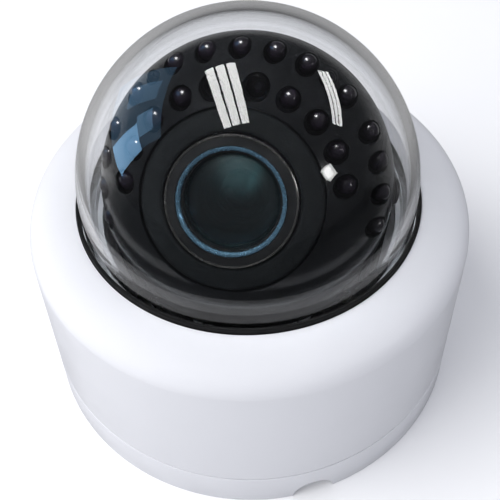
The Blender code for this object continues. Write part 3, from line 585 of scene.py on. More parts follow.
def pan_screw(node, body, matrix, axis_turn, head_h, material, slot):
    """A pan-head screw with a crossed recess in place of a plain CAD screw.

    axis_turn takes the screw's own Z, from tip to head, to the direction in matrix's frame.
    """
    points = node_points(node, matrix @ axis_turn)
    centre = middle(node, matrix @ axis_turn)
    radii = [hypot(p.x - centre.x, p.y - centre.y) for p in points]
    head_r = max(radii)
    low, high = min(p.z for p in points), max(p.z for p in points)
    shank_r = max(r for r, p in zip(radii, points) if p.z < low + 0.1)
    seat = high - head_h
    profile = [(0, high), (head_r * 0.35, high - head_h * 0.03), (head_r * 0.7, high - head_h * 0.16)]
    profile += [(head_r * 0.92, high - head_h * 0.42), (head_r, seat + head_h * 0.25), (head_r, seat)]
    profile += [(shank_r, seat)]
    pitch = 0.5
    turns = int((seat - low - 0.6) / pitch)
    for i in range(turns):
        top = seat - 0.3 - i * pitch
        profile += [(shank_r, top), (shank_r * 0.82, top - pitch / 2)]
    profile += [(shank_r * 0.8, low + 0.15), (shank_r * 0.55, low), (0, low)]
    place = matrix @ axis_turn @ shift(centre.x, centre.y, 0)
    item = turned(node + "_fine", profile, material, place, 24)
    carve(item, cross_recess(head_r, high, head_h * 0.55, place))
    settle(item, body, slot, node)


UP = HERE
DOWN = spun(pi, "X")
SIDEWAYS = spun(pi / 2, "Y")
MOUNT_ANGLES = (30, 150, 270)
NOTCH_ANGLE = radians(285)
HUB_ANGLES = (90, 210, 330)
CLAMP_PLACES = around(56.3, (45, 135, 225, 315))


def make_screws():
    groups = [
        ("board_screw", 2, "base", HERE, UP),
        ("retainer_screw", 3, "base", HERE, UP),
        ("clamp_screw", 4, "cover", HERE, DOWN),
        ("arm_screw", 4, "pan_frame", HERE, UP),
        ("camera_board_screw", 2, "camera_module", BALL, DOWN),
    ]
    for stem, count, body, matrix, turn in groups:
        for number in range(1, count + 1):
            pan_screw(f"{stem}_{number}", body, matrix, turn, 1.4, STEEL, "steel")
    for side in ("left", "right"):
        pan_screw(f"front_screw_{side}", "camera_module", BALL, UP, 1.2, DARK_STEEL, "steel_black")
    for side, angle in (("right", pi / 2), ("left", -pi / 2)):
        turn = spun(angle, "Y")
        pan_screw(f"tilt_screw_{side}", "tilt_shell", BALL, turn, 1.5, DARK_STEEL, "steel_black")


# ---- base


def make_base():
    _, outer, _, high = measure("base")
    seam_z = measure("cover")[2] - 0.3
    profile = [
        (60.3, 19.0), (60.3, 17.6), (58.9, 17.6), (58.9, 15.6), (60.3, 15.6), (60.3, seam_z),
        (63.7, seam_z), (outer, 0), (61.1, 0), (61.1, 6.5), (8, 6.5), (8, 9.5), (9.6, 9.5),
        (9.6, 12.6), (15, 12.6), (15, 9.5), (57.6, 9.5), (57.6, high),
    ]
    base = turned("base_shell", fillet(profile, 0.45), BASE, HERE, FINE)
    mounts = around(46, MOUNT_ANGLES)
    stands = around(50, (51, 102))
    bosses = [rods(mounts, 5.5, 0, 7.5), rods(stands, 2.8, 8.5, 12.7), underside_ribs()]
    carve(base, bosses, "UNION")
    notch = rods([(0, 0)], 6.2, 55, 70, spun(NOTCH_ANGLE) @ SIDEWAYS, 64)
    slots = [slot_tool(radians(angle)) for angle in MOUNT_ANGLES]
    holes = rods(around(12.4, HUB_ANGLES), 1.2, 10, 14, HERE, 20)
    tapped = rods(stands, 1.1, 9.6, 14, HERE, 20)
    carve(base, [notch, *slots, holes, tapped], sharp=32)
    settle(base, "base", "painted_metal_white", "base")


def underside_ribs():
    """Stiffening ribs under the floor, between the hub and the rim."""
    bm = bmesh.new()
    for degrees in (0, 60, 120, 180, 240, 330):
        spin = spun(radians(degrees))
        add_block(bm, (14, -0.6, 3.2), (61.6, 0.6, 7.2), spin)
    return new_object("ribs", bm, None)


def slot_tool(angle):
    """A mounting slot's cutter: two half circles joined by straight sides."""
    half, reach = 2.2, 1.8
    outline = []
    for turn, side in ((0, 1), (pi, -1)):
        ends = [polar(half, turn + pi * step / 12) for step in range(13)]
        outline += [(x, y + side * reach) for x, y in ends]
    bm = bmesh.new()
    add_prism(bm, outline, -1, 11)
    place = spun(angle) @ shift(46, 0, 0)
    return new_object("slot", bm, None, place)


def make_seal_ring():
    _, outer, low, high = measure("seal_ring")
    thick = 0.7
    centre_r, centre_z = outer - thick, (low + high) / 2
    profile = [polar(thick, -2 * pi * i / 16) for i in range(16)]
    profile = [(centre_r + r, centre_z + z) for r, z in profile]
    settle(turned("seal_ring_fine", profile, RUBBER, HERE, FINE), "base", "rubber_black", "seal_ring")


def make_grommet():
    profile = [
        (9.3, 11.1), (9.3, 9.8), (7.7, 9.8), (7.7, 6.2), (10.5, 6.2), (9.6, 5.0), (4.4, 5.0),
        (3.2, 5.6), (3.2, 10.6), (4.4, 11.1),
    ]
    profile = fillet(profile, 0.5, 4)
    settle(turned("grommet_fine", profile, RUBBER), "base", "rubber_black", "cable_grommet")


def make_clips():
    """Leaf springs with rolled bends and a rivet through each foot."""
    line = [(48, 10.1), (54.6, 10.1), (56.2, 10.4), (56.6, 11.8), (56.6, 19.4), (57.2, 20.6)]
    line += [(59.4, 22.6), (60.0, 23.4), (59.6, 24.3), (57.6, 26.8), (57.0, 27.2)]
    for number, degrees in enumerate((0, 120, 240)):
        bm = bmesh.new()
        rows = []
        for i, (x, z) in enumerate(line):
            half = (5.0 if i < 9 else 4.3)
            rows.append([bm.verts.new((x, side * half, z)) for side in (-1, -0.3, 0.3, 1)])
        for first, second in zip(rows, rows[1:]):
            for i in range(3):
                bm.faces.new((first[i], second[i], second[i + 1], first[i + 1]))
        spin = spun(radians(degrees))
        clip = new_object(f"clip_{number + 1}_fine", bm, SPRING, spin, 60)
        shell = clip.modifiers.new("Thickness", "SOLIDIFY")
        shell.thickness = 0.55 * MM
        shell.offset = 0
        bevel_edges(clip, 0.1, 50)
        settle(clip, "base", "spring_steel", f"cover_clip_{number + 1}")
        head = [(0, 0.75), (0.9, 0.68), (1.5, 0.4), (1.7, 0), (1.7, -0.35), (0, -0.35)]
        place = spin @ shift(51.5, 0, 10.75)
        settle(turned(f"clip_rivet_{number + 1}", head, STEEL, place, 28), "base", "steel")


def make_main_board():
    """The connector board: chips, capacitors and a screw terminal."""
    repaint("main_board", BOARD)
    top = measure("main_board")[3]
    spots = [
        ("regulator_chip", 60, 50, (3.2, 3.2, 1.3)),
        ("video_chip", 92, 50, (3.6, 2.4, 1.2)),
        ("inductor", 67, 47.5, (1.9, 1.9, 1.8)),
        ("small_chip", 84, 53, (1.3, 1.0, 0.8)),
    ]
    for name, degrees, radius, (half_x, half_y, thick) in spots:
        x, y = polar(radius, radians(degrees))
        place = shift(x, y, top) @ spun(radians(degrees - 90))
        piece = block(name, (-half_x, -half_y, 0.02), (half_x, half_y, thick), CHIP, place, 0.15)
        settle(piece, "base", "circuit_board")
    can = [(0, 5.0), (1.6, 5.0), (1.9, 4.6), (1.9, 0.9), (1.75, 0.7), (1.9, 0.5), (1.9, 0.02), (0, 0.02)]
    for number, (degrees, radius) in enumerate(((97, 53.5), (97, 47.5), (57, 54.0))):
        x, y = polar(radius, radians(degrees))
        place = shift(x, y, top)
        settle(turned(f"capacitor_{number + 1}", can, STEEL, place, 32), "base", "steel")
    make_terminal()


def make_terminal():
    """A green screw terminal: two wire mouths and two slotted brass screws."""
    centre = middle("terminal_block")
    low, high = measure("terminal_block")[2:]
    turn = spun(radians(76 - 90))
    place = shift(centre.x, centre.y, low) @ turn
    body = block("terminal_body", (-6, -4, 0), (6, 4, (high - low)), TERMINAL, place)
    bm = bmesh.new()
    for x in (-3, 3):
        add_block(bm, (x - 1.9, 1.5, 1.2), (x + 1.9, 5, 4.6))
    mouths = new_object("mouths", bm, None, place)
    carve(body, [mouths, rods([(-3, 0), (3, 0)], 1.9, 5.6, 9, place)])
    settle(body, "base", "terminal_green", "terminal_block")
    head = [(0, 6.9), (1.4, 6.9), (1.6, 6.7), (1.6, 5.7), (0, 5.7)]
    for number, x in enumerate((-3, 3)):
        spot = place @ shift(x, 0, 0)
        screw = turned(f"terminal_screw_{number + 1}", head, BRASS, spot, 32)
        carve(screw, [bar((-2, -0.22, 6.3), (2, 0.22, 8), spot)])
        settle(screw, "base", "steel")


# ---- cover and dome


def shoulder(t, inset=0.0):
    """The cover's rounded shoulder, from the crease to the dome's seat."""
    start, bend, end = Vector((62.5, 56.65)), Vector((61.9, 64.1)), Vector((48.3, 64.6))
    point = (1 - t) ** 2 * start + 2 * t * (1 - t) * bend + t * t * end
    slope = 2 * (1 - t) * (bend - start) + 2 * t * (end - bend)
    inward = Vector((-slope.y, slope.x)).normalized()
    return tuple((point + inward * inset))


def make_cover():
    _, outer, low, _ = measure("cover")
    outside = [shoulder(1 - i / 28) for i in range(29)]
    lip = [(outer - 0.05, low + 0.45), (outer - 0.35, low)]
    foot = [(60.9, low), (60.9, 20)]
    inside = [shoulder(i / 28, 2.5) for i in range(13)]
    seat = [(54.5, 62.4), (48.5, 62.4), (48.3, 62.6)]
    cover = turned("cover_shell", outside + lip + foot + inside + seat, COVER, HERE, FINE)
    carve(cover, [rods(CLAMP_PLACES, 2.6, 59.2, 61.8)], "UNION")
    carve(cover, [rods(CLAMP_PLACES, 1.1, 50, 61.2)], sharp=30)
    settle(cover, "cover", "plastic_white", "cover")


def make_dome():
    _, flange, low, high = measure("dome")
    outer, wall, centre = 46.8, 2.5, high - 46.8
    inner = outer - wall
    top = arc(outer, centre, high, 56, centre)[::-1]
    under = arc(inner, centre, centre + inner, 56, centre)
    seat = low + 1.8
    corner = [(outer, centre), (outer, seat), (flange, seat), (flange, low), (inner, low), (inner, centre)]
    corner = fillet(corner, 0.35, closed=False)
    profile = [(0, high)] + top[1:-1] + corner + under[1:-1] + [(0, centre + inner)]
    dome = turned("dome_bubble", profile, CLEAR, HERE, FINE, sharp=50)
    settle(dome, "cover", "clear_polycarbonate", "dome")


def make_gasket():
    _, outer, low, high = measure("dome_gasket")
    profile = [(47.75, high), (48.0, high - 0.3), (48.0, 62.1), (outer, 62.1)]
    profile += [(outer, low), (47.1, low), (47.1, high - 0.1)]
    gasket = turned("gasket_fine", fillet(profile, 0.2), RUBBER, HERE, FINE)
    settle(gasket, "cover", "rubber_black", "dome_gasket")


def make_clamp():
    _, outer, low, high = measure("dome_clamp")
    profile = collar(42.6, outer, low, high, 0.4, 4)
    clamp = turned("clamp_ring_fine", profile, LINER, HERE, FINE)
    carve(clamp, [rods(CLAMP_PLACES, 1.4, 50, 60)], sharp=30)
    settle(clamp, "cover", "plastic_white", "dome_clamp")


# ---- pan table and arms


def make_pan_table():
    _, outer, low, high = measure("pan_table")
    bore = 15.4
    profile = [(outer, high), (outer, low), (bore, low), (bore, high), (20.6, high)]
    groove = [(21.0, high - 0.6), (23.6, high - 0.6), (24.0, high)]
    table = turned("pan_table_fine", fillet(profile + groove, 0.35), SATIN, HERE, FINE)
    holes = [(x, y) for x in (30, -30) for y in (4.6, -4.6)]
    carve(table, [rods(holes, 1.4, low - 1, high + 1, PAN_TURN)], sharp=30)
    settle(table, "pan_frame", "plastic_black", "pan_table")
    _, outer, low, high = measure("pan_retainer")
    ring = turned("pan_retainer_fine", collar(9.9, outer, low, high, 0.25), STEEL)
    carve(ring, [rods(around(12.4, HUB_ANGLES), 1.25, low - 1, high + 1, HERE, 24)], sharp=30)
    settle(ring, "base", "steel", "pan_retainer")


ALONG_X = Matrix(((0, 0, 1, 0), (1, 0, 0, 0), (0, 1, 0, 0), (0, 0, 0, 1)))
ALONG_Y = Matrix(((1, 0, 0, 0), (0, 0, 1, 0), (0, 1, 0, 0), (0, 0, 0, 1)))


def make_arm(side, name):
    """An upright with a round head at the tilt axis, and a screwed foot braced by two webs."""
    spin = PAN_TURN @ spun(0 if side > 0 else pi)
    _, _, low, high = measure(name)
    top_z = joint("tilt")["pos_m"][2] / MM
    half_top, half_foot = high - top_z, 9
    outline = [(y, top_z + z) for y, z in [polar(half_top, pi * i / 24) for i in range(25)]]
    left = [(-half_top, 52), (-half_foot, 44), (-half_foot, low)]
    right = [(half_foot, low), (half_foot, 44), (half_top, 52)]
    outline += fillet(left, 5, 5, False) + fillet(right, 5, 5, False)
    bm = bmesh.new()
    add_prism(bm, outline, 37.8, 40.2, ALONG_X)
    arm = new_object(name + "_fine", bm, SATIN, spin)
    foot = bmesh.new()
    add_block(foot, (25, -half_foot, low), (39, half_foot, low + 2))
    web = [(33, low + 1.2), (38.5, low + 1.2), (38.5, low + 10.2)]
    for y in (-half_foot, half_foot - 1.4):
        add_prism(foot, web, y, y + 1.4, ALONG_Y)
    carve(arm, [new_object("foot", foot, None, spin)], "UNION")
    pivot = spin @ shift(0, 0, top_z) @ SIDEWAYS
    screws = rods([(30, 4.6), (30, -4.6)], 1.4, low - 1, low + 4, spin)
    carve(arm, [screws, rods([(0, 0)], 2.35, 36, 42, pivot)])
    bevel_edges(arm, 0.25)
    settle(arm, "pan_frame", "plastic_black", name)


# ---- eyeball


BALL_R = measure("eyeball_rear", BALL)[1]
LENS_OPENING_R = measure("light_seal", BALL)[1] + 0.4
OUTER_WELL_R = 2.85
INNER_WELL_R = 3.0
WINDOW_WELL_R = 3.4
SCREW_SEAT_R = 2.1
WINDOWS = ("led_window_right", "led_window_left")
LED_R = 2.5


def led_places(node):
    """Where the LEDs stand on a CAD board, from the tips of their noses."""
    points = node_points(node, LEDS)
    top = max(point.z for point in points)
    groups = []
    for point in (p for p in points if p.z > top - 0.05):
        near = [group for group in groups if (group[0] - point).length < LED_R * 1.4]
        if near:
            near[0].append(point)
        else:
            groups.append([point])
    return [tuple(sum(group, Vector()) / len(group))[:2] for group in groups]


def middles(nodes):
    return [tuple(middle(node, LEDS))[:2] for node in nodes]


def round_off(item, radius, centre):
    """Gives faces that lie on the ball its exact normals, so that holes leave no dents."""
    mesh = item.data
    back = centre.inverted() @ item.matrix_world
    turn = back.to_3x3()
    unturn = turn.inverted()
    normals = [Vector(corner.vector) for corner in mesh.corner_normals]
    for face in mesh.polygons:
        outward = (back @ face.center).normalized()
        facing = (turn @ face.normal).normalized()
        on_ball = abs((back @ face.center).length / MM - radius) < 0.25
        if not on_ball or outward.dot(facing) < 0.97:
            continue
        for index in face.loop_indices:
            corner = back @ mesh.vertices[mesh.loops[index].vertex_index].co
            normals[index] = unturn @ corner.normalized()
    mesh.normals_split_custom_set(normals)


def make_eyeball_rear():
    _, _, low, high = measure("eyeball_rear", BALL)
    outside = arc(BALL_R, low, high, 26)[::-1]
    inside = arc(BALL_R - 4, low, -3.6, 14)
    profile = outside + inside + [(33.4, -3.6), (33.4, high)]
    rear = turned("eyeball_rear_fine", fillet(profile, 0.3), GLOSS, BALL, FINE)
    for place in (BALL @ SIDEWAYS, BALL @ SIDEWAYS.inverted()):
        carve(rear, [bar((-30, -30, 37.4), (30, 30, 46), place)])
        carve(rear, [rods([(0, 0)], 2.25, 32, 39, place)], sharp=30)
    round_off(rear, BALL_R, BALL)
    settle(rear, "tilt_shell", "gloss_black", "eyeball_rear")


def make_eyeball_front():
    rim = measure("eyeball_rear", BALL)[3] + 0.3
    inner_r = BALL_R - 2
    outside = arc(BALL_R, rim, sqrt(BALL_R**2 - LENS_OPENING_R**2), 44)[::-1]
    skirt = [(33.1, rim), (33.1, -3.8), (31.0, -3.8), (31.0, 6.3)]
    inside = arc(inner_r, 6.3, sqrt(inner_r**2 - LENS_OPENING_R**2), 20)
    front = turned("eyeball_front_fine", fillet(outside + skirt + inside, 0.3), GLOSS, LEDS, 256)
    outer = led_places("ir_board_outer")
    inner = led_places("ir_board_inner")
    windows = middles(WINDOWS)
    screws = middles(("front_screw_right", "front_screw_left"))
    cuts = [
        (outer, OUTER_WELL_R, 7.2, SMALL),
        (inner, INNER_WELL_R, 16, SMALL),
        (windows, WINDOW_WELL_R, 16, 56),
        (screws, 1.2, 9, 24),
        (screws, SCREW_SEAT_R, 17.5, 32),
    ]
    wells = [rods(places, radius, low, 42, LEDS, steps) for places, radius, low, steps in cuts]
    carve(front, wells, sharp=30)
    round_off(front, BALL_R, LEDS)
    settle(front, "camera_module", "gloss_black", "eyeball_front")
    add_rims("outer_led_rims", outer, OUTER_WELL_R, 0.25)
    add_rims("inner_led_rims", inner, INNER_WELL_R, 0.25)
    add_rims("window_rims", windows, WINDOW_WELL_R, 0.28)
    add_rims("screw_rims", screws, SCREW_SEAT_R, 0.25)


def add_rims(name, places, hole_r, width):
    """Raised rounded lips round the holes, following the ball."""
    bm = bmesh.new()
    lift = 0.07
    section = [(0, -0.8), (0, lift * 0.4), (0.3, lift), (0.7, lift), (1, 0), (1, -0.5)]
    steps = 48
    for x, y in places:
        rings = []
        for step in range(steps):
            angle = 2 * pi * step / steps
            ring = []
            for across, raise_by in section:
                r = (hole_r - 0.02 + across * width)
                px, py = x + r * cos(angle), y + r * sin(angle)
                height = sqrt(max(0, BALL_R**2 - px * px - py * py)) + raise_by
                ring.append(bm.verts.new((px, py, height)))
            rings.append(ring)
        for i in range(steps):
            first, second = rings[i], rings[(i + 1) % steps]
            for j in range(len(section)):
                k = (j + 1) % len(section)
                bm.faces.new((first[j], second[j], second[k], first[k]))
    rims = new_object(name, bm, GLOSS, LEDS, 60)
    settle(rims, "camera_module", "gloss_black")


def make_leds():
    """The two ring boards, and each LED on them as a piece of its own."""
    for name, inner, outer in (("outer", 28.6, 36.6), ("inner", 19.8, 30.6)):
        node = f"ir_board_{name}"
        _, _, low, led_top = measure(node, LEDS)
        high = low + 1.4
        profile = collar(inner, outer, low, high, 0.15)
        settle(turned(f"{name}_led_board", profile, LED_BOARD, LEDS), "camera_module", "led_board", node)
        for number, (x, y) in enumerate(led_places(node)):
            make_led(f"led_{name}_{number + 1}", x, y, high, led_top + 0.4)


def make_led(name, x, y, seat, top):
    """A 5 mm LED: a flanged body with a round nose."""
    nose = arc(LED_R, top - LED_R, top, 14, top - LED_R)[::-1]
    flange_r, flange_top, foot = LED_R * 1.06, seat + 1.0, seat + 0.02
    profile = [(0, top)] + nose[1:]
    profile += [(LED_R, flange_top), (flange_r, flange_top), (flange_r, foot), (0, foot)]
    place = LEDS @ shift(x, y, 0)
    settle(turned(name, profile, EPOXY, place, 36), "camera_module", "led_board")


def make_windows():
    """Two clear caps with a reflector cup under each, and the light sensor in the right one."""
    for node, (x, y) in zip(WINDOWS, middles(WINDOWS)):
        _, _, low, high = measure(node, LEDS)
        place = LEDS @ shift(x, y, 0)
        radius = 3.2
        profile = [(0, high), (radius * 0.5, high - 0.1), (radius * 0.85, high - 0.35)]
        profile += [(radius, high - 0.8), (radius, low), (radius - 0.8, low)]
        profile += [(radius - 0.8, high - 1.9), (radius * 0.5, high - 1.5)]
        profile += [(0, high - 1.4)]
        window = turned(f"{node}_fine", profile, WINDOW, place, 56)
        settle(window, "camera_module", "clear_polycarbonate", node)
        cup = [(2.3, 4.8), (2.3, 0.05), (0, 0.05), (0, 0.4), (1.7, 0.6), (2.1, 4.8)]
        cup = [(r, low + h) for r, h in cup]
        reflector = turned(f"{node}_cup", cup, DARK_STEEL, place, 48, closed=False)
        settle(reflector, "camera_module", "led_board")
    _, _, low, high = measure("light_sensor", LEDS)
    centre = middle("light_sensor", LEDS)
    radius = 1.5
    profile = [(0, high), (radius * 0.6, high - 0.1), (radius, high - 0.9)]
    profile += [(radius, low + 0.45), (0, low + 0.45)]
    place = LEDS @ shift(centre.x, centre.y, 0)
    sensor = turned("light_sensor_fine", profile, EPOXY, place, 36)
    settle(sensor, "camera_module", "light_sensor", "light_sensor")


def make_roll_retainer():
    _, outer, low, high = measure("roll_retainer", BALL)
    ring = turned("roll_retainer_fine", collar(28, outer, low, high, 0.3), SATIN, BALL)
    settle(ring, "camera_module", "plastic_black", "roll_retainer")


# ---- lens and sensor


def make_lens_mount():
    _, outer, low, high = measure("module_plate", BALL)
    plate = turned("module_plate_fine", collar(7.3, outer, low, high, 0.2), DARK_STEEL, BALL)
    carve(plate, [rods(around(21, (45, 135, 225, 315)), 4, low - 1, high + 1, BALL)], sharp=30)
    settle(plate, "camera_module", "steel_black", "module_plate")
    low, high = measure("lens_holder", LEDS)[2:]
    holder = block("lens_holder_fine", (-15, -15, low), (15, 15, high), MATTE, LEDS, 0.6)
    hollow = bar((-6, -6, low - 1), (6, 6, -2), LEDS)
    bore = rods([(0, 0)], 7.2, -2.2, 2, LEDS)
    carve(holder, [bore, hollow, rods([(12, 12), (-12, -12)], 1.1, low - 1, -2.5, LEDS)], sharp=30)
    settle(holder, "camera_module", "plastic_black", "lens_holder")


def add_part(name, half_x, half_y, low, high, material, bevel, *slot_and_node):
    """A block on the lens axis that rides with the lens."""
    piece = block(name, (-half_x, -half_y, low), (half_x, half_y, high), material, LEDS, bevel)
    settle(piece, "camera_module", *slot_and_node)
    return piece


def make_sensor():
    repaint("camera_board", BOARD)
    low, high = measure("image_sensor", LEDS)[2:]
    add_part("sensor_package", 4, 4, low, high - 0.2, CHIP, 0.15, "chip", "image_sensor")
    add_part("sensor_die", 2.6, 2, high - 0.3, high, SILICON, 0.05, "chip")
    low, high = measure("ir_filter", LEDS)[2:]
    add_part("filter_pane", 5.6, 5.6, low, high, FILTER, 0.12, "filter", "ir_filter")
    low, high = measure("board_connector", LEDS)[2:]
    plug = add_part("connector_fine", 6, 3, low, high, IVORY, 0.3, "plastic_white", "board_connector")
    carve(plug, [bar((-5.2, -2, low - 1), (5.2, 2, low + 2.6), LEDS)])
    pins = bmesh.new()
    for i in range(7):
        x = (i - 3) * 1.4
        add_block(pins, (x - 0.2, -0.3, low + 0.3), (x + 0.2, 0.3, high - 1))
    settle(new_object("connector_pins", pins, BRASS, LEDS), "camera_module", "steel")
    back = measure("camera_board", LEDS)[2]
    chips = [("processor", -9, 8, 5, 5, 1.2), ("memory", 9, 9, 4, 2.6, 1.0)]
    chips += [("driver", 10, -9, 2.6, 2.6, 0.9)]
    for name, x, y, a, b, thick in chips:
        corners = (x - a, y - b, back - thick), (x + a, y + b, back - 0.02)
        settle(block(f"{name}_chip", *corners, CHIP, LEDS, 0.12), "camera_module", "chip")


def make_lens_barrel():
    """The barrel with stepped light baffles, an iris and an inner glass."""
    _, _, _, high = measure("lens_barrel", BALL)
    profile = [(12, 30.9), (12, 2.8), (6.9, 2.8), (6.9, -1.6), (4, -1.6), (4, 8)]
    for i in range(9):
        profile += [(5.4 + i * 0.52, 9.4 + i * 2.1), (6.2 + i * 0.44, 9.4 + i * 2.1 + 0.4)]
    profile += [(10.9, 28.6), (10.9, high)]
    barrel = turned("lens_barrel_fine", fillet(profile, 0.15, 2), MATTE, BALL)
    settle(barrel, "camera_module", "plastic_black", "lens_barrel")
    profile = [(0, 18.6), (1.8, 18.4), (3.6, 17.8), (5.2, 16.8), (5.2, 15.8), (0, 15.2)]
    settle(turned("inner_lens", profile, LENS_INNER, BALL, 64, sharp=60), "camera_module", "lens_glass")
    make_iris()


def make_iris():
    """Seven curved blades that leave a small opening."""
    bm = bmesh.new()
    outer = around(5.6, range(-30, 81, 10))
    inner = [(2.2 + 0.36 * sin(pi * t / 6), (t - 2) * 1.15) for t in range(6, -1, -1)]
    for i in range(7):
        lift = (12.4 + 0.05 * i)
        add_prism(bm, outer + inner, lift, lift + 0.08, spun(2 * pi * i / 7))
    settle(new_object("iris_blades", bm, DARK_STEEL, BALL, 40), "camera_module", "steel_black")


def ribs(depth, count, steps, low, high, least_r):
    """Square ribs for turn_into, between two heights and outside a radius."""

    def ripple(step, radius, height):
        on_grip = low - 0.01 < height < high + 0.01 and radius > least_r
        return -depth * (cos(2 * pi * count * step / steps) > 0) if on_grip else 0

    return ripple


def make_zoom_ring():
    _, outer, low, high = measure("zoom_ring", BALL)
    inner = 12.4
    grip_low, grip_high = low + 1.2, high - 1.2
    steps = 288
    profile = [(outer - 0.3, high), (outer, high - 0.3), (outer, grip_high + 0.05)]
    profile += [(outer, grip_high), (outer, grip_low), (outer, grip_low - 0.05)]
    profile += [(outer, low + 0.3), (outer - 0.3, low), (inner, low), (inner, high)]
    ripple = ribs(0.35, 48, steps, grip_low, grip_high, inner + 1)
    ring = turned("zoom_ring_fine", profile, SATIN, BALL, steps, ripple, 25)
    settle(ring, "zoom_ring", "plastic_black", "zoom_ring")
    lock_knob("zoom_lock", "zoom_ring", outer)


def lock_knob(node, body, ring_r):
    """A small thumb screw with a ribbed head, standing out of a lens ring."""
    centre = middle(node, BALL)
    angle = atan2(centre.y, centre.x)
    place = BALL @ shift(0, 0, centre.z) @ spun(angle)
    place = place @ SIDEWAYS
    _, head_r, tip, reach = measure(node, place)
    profile = [(0, reach - 0.2), (head_r * 0.5, reach - 0.2), (head_r * 0.62, reach)]
    profile += [(head_r * 0.85, reach), (head_r, reach - 0.4), (head_r, ring_r + 0.5)]
    profile += [(head_r * 0.8, ring_r + 0.3), (0.85, ring_r + 0.3), (0.85, tip), (0, tip)]
    steps = 144

    def ripple(step, radius, height):
        ribbed = radius > head_r * 0.95
        return -0.14 * (0.5 + 0.5 * cos(2 * pi * 24 * step / steps)) if ribbed else 0

    settle(turned(node + "_fine", profile, DARK_STEEL, place, steps, ripple, 40), body, "steel_black", node)


def make_focus_ring():
    _, outer, low, high = measure("focus_ring", BALL)
    _, glass_r, glass_low, glass_high = measure("front_lens", BALL)
    inner, seat = 12.4, glass_low - 0.3
    bore, groove = glass_r + 0.3, glass_r + 1.9
    steps = 360
    grip_low, grip_high = low + 1.2, high - 3.9
    profile = [(groove, high - 0.1), (outer - 0.9, high - 0.5)]
    profile += [(outer - 0.25, high - 0.6), (outer, high - 1.0)]
    profile += [(outer, grip_high + 0.1), (outer, grip_high), (outer, grip_low)]
    profile += [(outer, grip_low - 0.1), (outer, low + 0.3), (outer - 0.3, low)]
    profile += [(inner, low), (inner, seat), (bore, seat), (bore, high - 1.2)]
    profile += [(groove, high - 1.2)]
    ripple = ribs(0.3, 60, steps, grip_low, grip_high, outer - 0.05)
    ring = turned("focus_ring_fine", profile, SATIN, BALL, steps, ripple, 25)
    settle(ring, "focus_ring", "plastic_black", "focus_ring")
    trim = [(1.75, -0.1), (1.75, -1.1), (0.7, -1.1), (0.7, -0.6), (1.15, -0.12)]
    trim = fillet([(glass_r + r, high + h) for r, h in trim], 0.15)
    settle(turned("blue_lens_trim", trim, BLUE_TRIM, BALL, 144), "focus_ring", "lens_glass")
    # A pale band on the black focus ring's front edge: a painted highlight where the edge catches the
    # light.
    edge = [(-0.32, -0.42), (-0.12, -0.55), (-0.12, -0.75), (-0.6, -0.62), (-0.6, -0.48)]
    edge = [(outer + r, high + h) for r, h in edge]
    settle(turned("pale_lens_edge", edge, EDGE_HIGHLIGHT_PAINT, BALL, 144), "focus_ring", "plastic_black")
    lock_knob("focus_lock", "focus_ring", outer)
    make_front_lens(glass_r, glass_low, glass_high)


def make_front_lens(radius, low, high):
    """A strongly curved outer face and a hollow inner one, held by the focus ring."""
    bend, rear_bend = 30, 24
    centre = high - bend
    front = arc(bend, centre + sqrt(bend**2 - radius**2), high, 24, centre)[::-1]
    across = [radius * i / 16 for i in range(17)]
    rear = [(r, low + (radius**2 - r**2) / (2 * rear_bend)) for r in across]
    profile = [(0, high)] + front[1:] + rear[::-1]
    lens = turned("front_lens_fine", profile, LENS, BALL, 128, sharp=50)
    settle(lens, "focus_ring", "lens_glass", "front_lens")


def make_light_seal():
    """A soft ring with a rolled inner lip, pressed between the lens and the eyeball."""
    inner, outer, low, high = measure("light_seal", BALL)
    width, drop = outer - inner, 1.6
    lip = [(inner, high - 0.35), (inner + 0.3, high), (inner + 0.9, high)]
    slope = [(inner + width * t, high - drop * t**1.4) for t in (0.4, 0.6, 0.8, 0.93)]
    foot = [(outer, high - drop - 0.3), (outer, low), (inner, low)]
    ring = turned("light_seal_fine", lip + slope + foot, FOAM, BALL, 160, sharp=50)
    settle(ring, "camera_module", "foam_black", "light_seal")


# ---- studio


DOME_CENTRE = Vector((0, 0, CAD_BOX[1][2] - measure("dome")[1] * 0.88 * MM))


def make_floor():
    bm = bmesh.new()
    bmesh.ops.create_grid(bm, x_segments=8, y_segments=8, size=4000)
    floor = new_object("floor", bm, floor_paint())
    floor.location.z = CAD_BOX[0][2] - 0.05 * MM


def aim(azimuth, elevation, distance):
    """A place over the part, by its direction from the dome in degrees."""
    x, y = polar(distance * cos(radians(elevation)), radians(azimuth))
    return Vector((x, y, distance * sin(radians(elevation)))) + DOME_CENTRE


def add_light(name, place, size, strength, colour=(1, 1, 1), turn=0.0):
    """An area light of the given brightness at the dome, W per square metre and steradian."""
    lamp = bpy.data.lights.new(name, "AREA")
    lamp.shape = "RECTANGLE"
    lamp.size, lamp.size_y = size
    lamp.energy = strength * pi * size[0] * size[1]
    lamp.color = colour
    item = link_object(name, lamp)
    facing = (DOME_CENTRE - place).to_track_quat("-Z", "Y").to_matrix().to_4x4()
    item.matrix_world = Matrix.Translation(place) @ facing @ spun(turn)
    item.visible_camera = False
    return item


def only_mirrored(item, pieces):
    """Leaves a light nothing but its mirror image in the given pieces."""
    item.light_linking.receiver_collection = pieces
    item.visible_diffuse = False
    item.visible_transmission = False


def shiny_pieces(*beginnings):
    found = bpy.data.collections.new("mirrors_" + beginnings[0])
    for item in bpy.data.objects:
        if item.name.startswith(beginnings):
            found.objects.link(item)
    return found


def add_tubes(name, azimuth, elevation, width, length, strength, turn, pieces):
    """A lamp of three tubes side by side, as a row of narrow lights."""
    place = aim(azimuth, elevation, 1.1)
    for number in (-1, 0, 1):
        tube = add_light(f"{name}_{number + 2}", place, (width, length), strength, turn=turn)
        tube.matrix_world = tube.matrix_world @ Matrix.Translation((number * width * 1.25, 0, 0))
        only_mirrored(tube, pieces)


